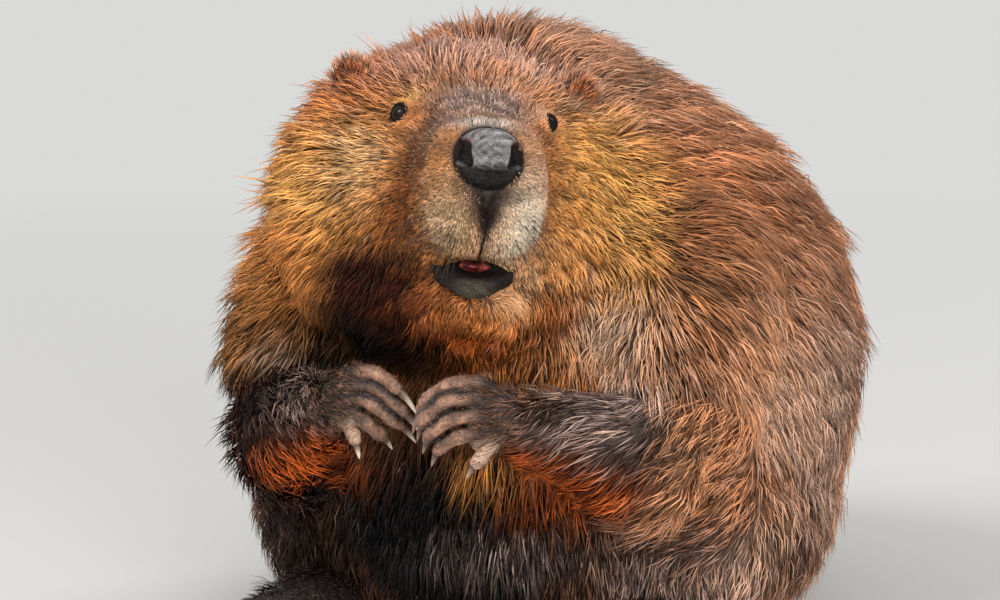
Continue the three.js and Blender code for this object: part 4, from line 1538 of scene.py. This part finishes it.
def web(side):
    """The web: the surface through the toes' lines, its edge drawn back in a bay between each two toes."""
    shares = np.linspace(0, 1, TOE_STEPS)
    lines = np.stack([through(hind_toe(side, spread), shares) for spread in SPREADS])
    across = np.linspace(0, 1, WEB_COLUMNS)
    sheet = np.stack([through(lines[:, k], across) for k in range(TOE_STEPS)])
    between = np.sin(np.pi * (across * (len(SPREADS) - 1) % 1))
    place = np.linspace(0, 1, WEB_ROWS)[:, None] * (1 - 0.26 * between**0.8)[None] * (TOE_STEPS - 1)
    i = np.minimum(place.astype(int), TOE_STEPS - 2)
    column = np.arange(WEB_COLUMNS)[None] + 0 * i
    top = mixed(sheet[i, column], sheet[i + 1, column], (place - i)[..., None])
    top[..., 2] = 3.2 - 0.7 * between[None]
    bottom = top.copy()
    bottom[..., 2] = 0.4
    return slab(top, bottom)


def hind_foot(label, side, material):
    """A hind foot: the instep and five toes as tubes, with the web between them, welded and flat below."""
    instep = [(*mirrored([HEEL[0] + x, HEEL[1] + y, z], side), *half_sizes)
              for x, y, z, *half_sizes in INSTEP]
    parts = [tube(instep, 48, 40, ends=(0.25, 0.2)), web(side)]
    parts += [tube(with_knuckles(hind_toe(side, spread), TOE_RADIUS, 0.12), 20, 36, ends=(0.15, 0.2))
              for spread in SPREADS]
    points, faces = joined(parts)
    points[:, 2] = np.maximum(points[:, 2], 0.3)
    piece = welded("foot_" + label, points, faces, 1.1, 4)
    points, normals = points_of(piece.data), normals_of(piece.data)
    wrinkle = np.sin(points[:, 1] * 1.7 + 2.2 * ripple(points, 12, 61)) * step(0, 0.6, normals[:, 2])
    points = points + (0.22 * wrinkle + 0.25 * ripple(points, 6, 62))[:, None] * normals
    points[:, 2] = np.maximum(points[:, 2], 0)
    place_points(piece.data, points)
    piece.data.materials.append(material)
    colour = mixed(*FOOT_TINTS, step(4, 9, points[:, 2])[:, None])
    paint(piece.data, "tint", mixed(colour, INSTEP_TINT, step(-176, -146, points[:, 1])[:, None]))
    unwrapped(piece)
    return kept(piece, "paw_skin", "hind_foot_" + label)


def foot_pelt(side):
    """Dark hair over the instep, lying down towards the toes."""
    return Pelt(lambda points: 4 + 14 * step(-150, -90, points[:, 1]),
                one_way([0.15 * side, -0.9, -0.2], 24, 71),
                even(FOOT_HAIR), even(0.6), clump=6, rise=(24, 6), wet=even(0.8))


# ---- Tail.

TAIL_LINE = (  # the tail's path, with its half width and half thickness
    (0, 150, 30, 44, 34), (-4, 206, 22, 40, 24), (-14, 256, 12, 52, 14),
    (-34, 330, 9, 66, 11), (-62, 400, 8, 64, 9.5), (-92, 462, 6, 47.5, 7.5),
)
SCALE_LENGTH = 7.0
RUMP_FUR = linear(112, 76, 56)


def scale_wave(p, q, cosine):
    """A honeycomb of humps: the sum of three cosines whose waves lie at 60 degrees, from -1.5 to 3."""
    slanted = (p * 0.5 + q * 0.866, p * 0.5 - q * 0.866)
    return cosine(p * 2 * np.pi) + cosine(slanted[0] * 2 * np.pi) + cosine(slanted[1] * 2 * np.pi)


def tail(material):
    """The tail: a flat oval section carried along its path, covered by six-sided scales.

    The scales lie on the tail's own length and width, so they keep their size where the tail broadens, and
    each stands half a millimetre above the grooves round it. They begin where the fur ends.
    """
    line = np.array(TAIL_LINE)
    length = np.linalg.norm(np.diff(line[:, :3], axis=0), axis=1).sum()
    rows, around = 230, 250

    def relief(share, angle):
        p, q = share * length / SCALE_LENGTH, across(share, angle) / SCALE_LENGTH
        flat = step(0.5, 1.6, scale_wave(p, q, np.cos) + 0.9)
        return (0.5 * flat - 0.3) * step(0.16, 0.26, share)

    def across(share, angle):
        return through(line[:, 3:4], share[:, 0]) * np.cos(angle)

    points, faces = tube(TAIL_LINE, around, rows, ends=(0.1, 0.3), relief=relief)
    points[:, 2] = np.maximum(points[:, 2], 0)
    piece = mesh_object("tail_paddle", points, faces, material)
    share = (1 - np.cos(np.linspace(0, np.pi, rows))) / 2
    angle = np.linspace(0, 2 * np.pi, around, endpoint=False)
    lengthways = np.broadcast_to(share[1:-1, None] * length, (rows - 2, around)).ravel()
    sideways = across(share[1:-1, None], angle[None]).ravel()
    stored(piece.data, "lengthways", np.concatenate([[0], lengthways, [length]]) / SCALE_LENGTH)
    stored(piece.data, "sideways", np.concatenate([[0], sideways, [0]]) / SCALE_LENGTH)
    unwrapped(piece)
    return kept(piece, "tail_skin", "tail")


def root_fur_share(points):
    """Where fur covers the tail: on its upper side, to a ragged edge before the scales."""
    return step(236, 205, points[:, 1] + 8 * ripple(points, 20, 84)) * step(1, 5, points[:, 2])


def rump_pelt():
    """Fur over the root of the tail, lying back along it and shorter towards the scales."""
    return Pelt(lambda points: 26 - 16 * step(195, 235, points[:, 1]), one_way([-0.12, 1.0, -0.15], 30, 81),
                even(RUMP_FUR), even(0.85), rise=(26, 6))


# ---- Finishes.

def coat_finish():
    """Glossy guard hair: the stored colour, smoother where it is damp."""
    finish = Finish("coat", Specular_IOR_Level=0.2)
    finish.set("Base Color", finish.attribute("coat", "Color"))
    finish.set("Roughness", 0.48 - 0.18 * finish.attribute("wet"))
    return finish.material


def underfur_finish():
    """The dense fur under the guard hairs: the stored colour, broken up by fine noise."""
    finish = Finish("underfur", Roughness=0.8)
    mottle = finish.ramp(finish.noise(1100, 2), (0.3, 0.7), (0.7, 1.3))
    finish.set("Base Color", finish.mix(1.0, finish.attribute("coat", "Color"), mottle, "MULTIPLY"))
    finish.bump(finish.noise(1500, 3), 0.0005)
    return finish.material


def skin_finish(name, cell, rough, bump, **plain):
    """Bare skin: the stored tint mottled by noise, with a network of fine creases between cells."""
    finish = Finish(name, **plain)
    creases = finish.cells(1 / (cell * MM), "DISTANCE_TO_EDGE")
    net = finish.ramp(creases, (0.0, 0.0), (0.22, 1.0))
    mottle = finish.ramp(finish.noise(0.4 / (cell * MM), 4), (0.3, 0.72), (0.7, 1.25))
    worn = finish.mix(1.0, finish.attribute("tint", "Color"), mottle, "MULTIPLY")
    dark = finish.mix(0.55, worn, (0, 0, 0))
    finish.set("Base Color", finish.mix(net, dark, worn))
    finish.set("Roughness", rough[0] + (rough[1] - rough[0]) * finish.noise(0.8 / (cell * MM), 3))
    finish.bump(net * 0.8 + finish.noise(3 / (cell * MM), 3) * 0.35, bump * MM)
    return finish.material


def tail_finish():
    """Scaly skin: dark scales with paler worn tops and near-black grooves."""
    finish = Finish("tail_scales")
    wave = scale_wave(finish.attribute("lengthways"), finish.attribute("sideways"), Value.cosine)
    flat = finish.ramp((wave + 1.5) / 4.5, (0.02, 0.0), (0.3, 1.0))
    scale = finish.ramp(finish.noise(160, 5), (0.3, linear(58, 50, 46)), (0.5, linear(80, 70, 64)),
                        (0.72, linear(108, 98, 90)))
    finish.set("Base Color", finish.mix(flat, linear(30, 25, 23), scale))
    finish.set("Roughness", 0.38 + 0.3 * finish.noise(300, 3))
    finish.bump(flat * 0.8 + finish.noise(900, 3) * 0.3, 0.0005)
    return finish.material


def claw_finish(name, tip):
    """Horn: brown at the root and streaked towards the tip, whose colour is given."""
    finish = Finish(name)
    streaks = finish.noise(700, 3)
    shade = finish.ramp(finish.attribute("reach") + (streaks - 0.5) * 0.25, (0.0, linear(52, 38, 32)),
                        (0.35, linear(112, 90, 76)), (0.8, tip))
    finish.set("Base Color", shade)
    finish.set("Roughness", 0.25 + 0.25 * streaks)
    finish.bump(finish.noise(1600, 2), 0.0001)
    return finish.material


def eye_finish():
    """A dark eye: a black pupil, a deep brown streaked iris and a wet surface."""
    finish = Finish("eye", Coat_Weight=0.18, Coat_Roughness=0.05, Roughness=0.4, Specular_IOR_Level=0.1)
    iris = finish.attribute("polar") + (finish.noise(2500, 2) - 0.5) * 0.12
    finish.set("Base Color", finish.ramp(iris, (0.28, (0.001, 0.001, 0.001)), (0.34, linear(26, 12, 6)),
                                         (0.62, linear(18, 9, 5)), (0.74, linear(8, 4, 3))))
    return finish.material


def tongue_finish():
    """Wet pink flesh with fine papillae."""
    finish = Finish("tongue", Coat_Weight=0.25, Coat_Roughness=0.2, Specular_IOR_Level=0.3)
    patches = 0.65 * finish.noise(170, 3) + 0.35 * finish.noise(600, 3)
    finish.set("Base Color", finish.ramp(patches, (0.42, linear(30, 9, 9)), (0.5, linear(92, 26, 24)),
                                         (0.6, linear(146, 64, 58))))
    finish.set("Roughness", 0.3 + 0.3 * finish.noise(1200, 2))
    finish.bump(finish.cells(1500), 0.0003)
    return finish.material


def floor_finish(colour, far):
    """A matt floor that takes the object's shadow and fades into the pale backdrop with distance."""
    finish = Finish("floor", Roughness=0.9, Specular_IOR_Level=0.2, Base_Color=(*colour, 1))
    distance = finish.node("ShaderNodeVectorMath", {"operation": "LENGTH"}, {0: finish.place()}, "Value")
    away = finish.ramp(distance / 4, (0.14, 0.0), (0.5, 1.0))
    matt = Value(finish, finish.shader.outputs[0])
    glow = finish.node("ShaderNodeEmission", {}, {"Color": (*far, 1), "Strength": 1.0})
    finish.show(finish.node("ShaderNodeMixShader", {}, {0: away, 1: matt, 2: glow}), "Material Output")
    return finish.material


# ---- The stage: floor, lamps, world and camera.

CAMERA_AZIMUTH = np.radians(22.5)
CAMERA_ELEVATION = np.radians(9)
CAMERA_DISTANCE = 2.6
CAMERA_LENS = 153
AIM_RIGHT = -0.0275
AIM_UP = 0.191
BACKDROP = (0.70, 0.70, 0.69)
FLOOR = (0.5, 0.5, 0.49)
FLOOR_REACH = 60000
LAMPS = (  # name, place, height of the point it faces, size and power
    ("key", (-1.0, -1.9, 2.4), 0.2, 1.0, 64),
    ("fill", (1.8, -2.4, 0.9), 0.15, 1.6, 80),
    ("rim", (0.9, 2.2, 2.2), 0.25, 1.2, 40),
)


def look_rotation(direction):
    """The rotation whose -Z looks along a direction, with +Y up."""
    return Vector(direction).to_track_quat("-Z", "Y").to_euler()


def lamp(name, place, target, size, power):
    """A square area lamp at a place, facing a target."""
    data = bpy.data.lights.new(name, "AREA")
    data.size = size
    data.energy = power
    holder = linked(name, data)
    holder.location = place
    holder.rotation_euler = look_rotation(np.array(target) - np.array(place))


def set_world():
    """Even light from all round, with the backdrop's own colour for the camera."""
    world = bpy.data.worlds.new("studio")
    bpy.context.scene.world = world
    world.use_nodes = True
    nodes = Nodes(world.node_tree)
    ambient = nodes.node("ShaderNodeBackground", {}, {"Color": (1.0, 0.98, 0.96, 1), "Strength": 0.64})
    shown = nodes.node("ShaderNodeBackground", {}, {"Color": (*BACKDROP, 1)})
    seen = nodes.node("ShaderNodeLightPath", output="Is Camera Ray")
    nodes.show(nodes.node("ShaderNodeMixShader", {}, {0: seen, 1: ambient, 2: shown}), "World Output")


def set_camera():
    """The camera, aimed past the middle of the animal by AIM_RIGHT and AIM_UP."""
    toward = np.array([np.sin(CAMERA_AZIMUTH) * np.cos(CAMERA_ELEVATION),
                       -np.cos(CAMERA_AZIMUTH) * np.cos(CAMERA_ELEVATION), np.sin(CAMERA_ELEVATION)])
    right = np.array([np.cos(CAMERA_AZIMUTH), np.sin(CAMERA_AZIMUTH), 0])
    aim = AIM_RIGHT * right + AIM_UP * np.cross(toward, right)
    camera = linked("camera", bpy.data.cameras.new("camera"))
    camera.data.lens = CAMERA_LENS
    camera.location = aim + CAMERA_DISTANCE * toward
    camera.rotation_euler = look_rotation(-toward)
    bpy.context.scene.camera = camera
    bpy.context.scene.view_settings.view_transform = "Standard"


def set_stage():
    """A pale floor and backdrop, three soft lamps and the camera."""
    corners = FLOOR_REACH * np.array([(-1, -1, 0), (1, -1, 0), (1, 1, 0), (-1, 1, 0)], float)
    mesh_object("floor", corners, [(0, 1, 2, 3)], floor_finish(FLOOR, BACKDROP))
    set_world()
    for name, place, height, size, power in LAMPS:
        lamp(name, place, (0, 0, height), size, power)
    set_camera()


# ---- Assembly.

set_stage()
underfur, guard = underfur_finish(), coat_finish()
skin = body_skin(underfur)
unwrapped(skin)
paint(skin.data, "coat", skin_colours(points_of(skin.data)))
kept(skin, "fur", *FLESH)

sampler = SkinSampler(skin)
centres = sampler.centres
local_centres = to_head(centres)
on_head = head_share(centres)
arm_share, _, thigh_share = limb_shares(centres)
furred = step(2, 8, centres[:, 2]) * (1 - np.clip(sum(bare_shares(centres)), 0, 1))
from_nose = np.linalg.norm(local_centres - NOSE_TIP, axis=1)


crowd = furred / (hair_length(centres) * body_width(centres))
muzzle = on_head * (1 - step(52, 66, from_nose))
face = on_head * (1 - muzzle)
limbs = (1 - on_head) * np.clip(arm_share + thigh_share, 0, 1)
back = (1 - on_head) * (1 - limbs)
right_half = centres[:, 0] < 0
right_face = local_centres[:, 0] < 0
rear = centres[:, 1] > -10
coat = Pelt(hair_length, lie_of_coat, markings_and_painted_light, body_width, gather=0.65, wet=wetness, lift=shagginess,
            room=coat_depth, mottle=lock_contrast, pale_and_highlight=pale_and_highlight_share, pepper=dark_share)
PIECES = (
    ("coat_muzzle", muzzle, 15000),
    ("coat_face_left", face * ~right_face, 17500),
    ("coat_face_right", face * right_face, 17500),
    ("coat_back_left", back * ~right_half * rear, 19500),
    ("coat_back_right", back * right_half * rear, 17500),
    ("coat_front", back * ~rear, 17500),
    ("coat_limbs", limbs, 19500),
)
for piece_name, piece_weight, piece_count in PIECES:
    grow(piece_name, sampler, piece_count, piece_weight * crowd, coat, guard)

whiskers = Pelt(lambda points: 24 + 14 * step(-20, -50, to_head(points)[:, 1]), lie_of_coat,
                even(linear(74, 58, 50)), even(0.34), clump=3, rise=(34, 16), gather=0.0)
padded = sum(bell(local_centres, (side * 20, -62, -66), (13, 12, 15)) > 0.45 for _, side in SIDES)
grow("whiskers", sampler, 56, padded * crowd, whiskers, guard)

eye_surface = eye_finish()
lip_surface = skin_finish("lip_skin", 1.3, (0.4, 0.7), 0.5, Specular_IOR_Level=0.18)
lid_surface = skin_finish("lid_skin", 1.0, (0.6, 0.8), 0.15, Specular_IOR_Level=0.15)
paw_surface = skin_finish("paw_skin", 1.1, (0.32, 0.58), 0.22)
# the right paw's claws are pale towards the tip: a painted highlight
horns = {1: claw_finish("dark_horn", linear(146, 124, 106)),
         -1: claw_finish("horn_with_painted_highlight", linear(205, 188, 166))}
nose(skin_finish("nose_skin", 1.15, (0.36, 0.6), 0.45, Specular_IOR_Level=0.4))
lower_lip(lip_surface)
mouth_lining(lip_surface)
tongue(tongue_finish())
for label, side in SIDES:
    eyeball(label, side, eye_surface)
    lid_rim(label, side, lid_surface)
    cup = ear(label, side, underfur)
    grow("ear_fur_" + label, SkinSampler(cup), 900, 1.0, ear_pelt(side), guard)
    paw_sampler = SkinSampler(forepaw(label, side, paw_surface))
    hairy = paw_hairiness(paw_sampler.centres, side)
    grow("paw_hair_" + label, paw_sampler, 1900, hairy, paw_pelt(side), guard)
    claws("fore_claws_" + label, [fore_digit(side, i) for i in range(5)], FORE_CLAW_LENGTHS, 2.4, horns[side],
          [f"fore_claw_{label}_{i}" for i in range(1, 6)])
    foot_sampler = SkinSampler(hind_foot(label, side, paw_surface))
    instep = step(-176, -140, foot_sampler.centres[:, 1]) * step(3, 10, foot_sampler.centres[:, 2])
    grow("foot_hair_" + label, foot_sampler, 1800, instep, foot_pelt(side), guard)
    claws("hind_claws_" + label, [hind_toe(side, spread) for spread in SPREADS], (15,) * 5, 3.4, horns[1],
          [f"hind_claw_{label}_{i}" for i in range(1, 6)])
paddle_sampler = SkinSampler(tail(tail_finish()))
rooty = root_fur_share(paddle_sampler.centres)
grow("tail_root_fur", paddle_sampler, 2600, rooty, rump_pelt(), guard)
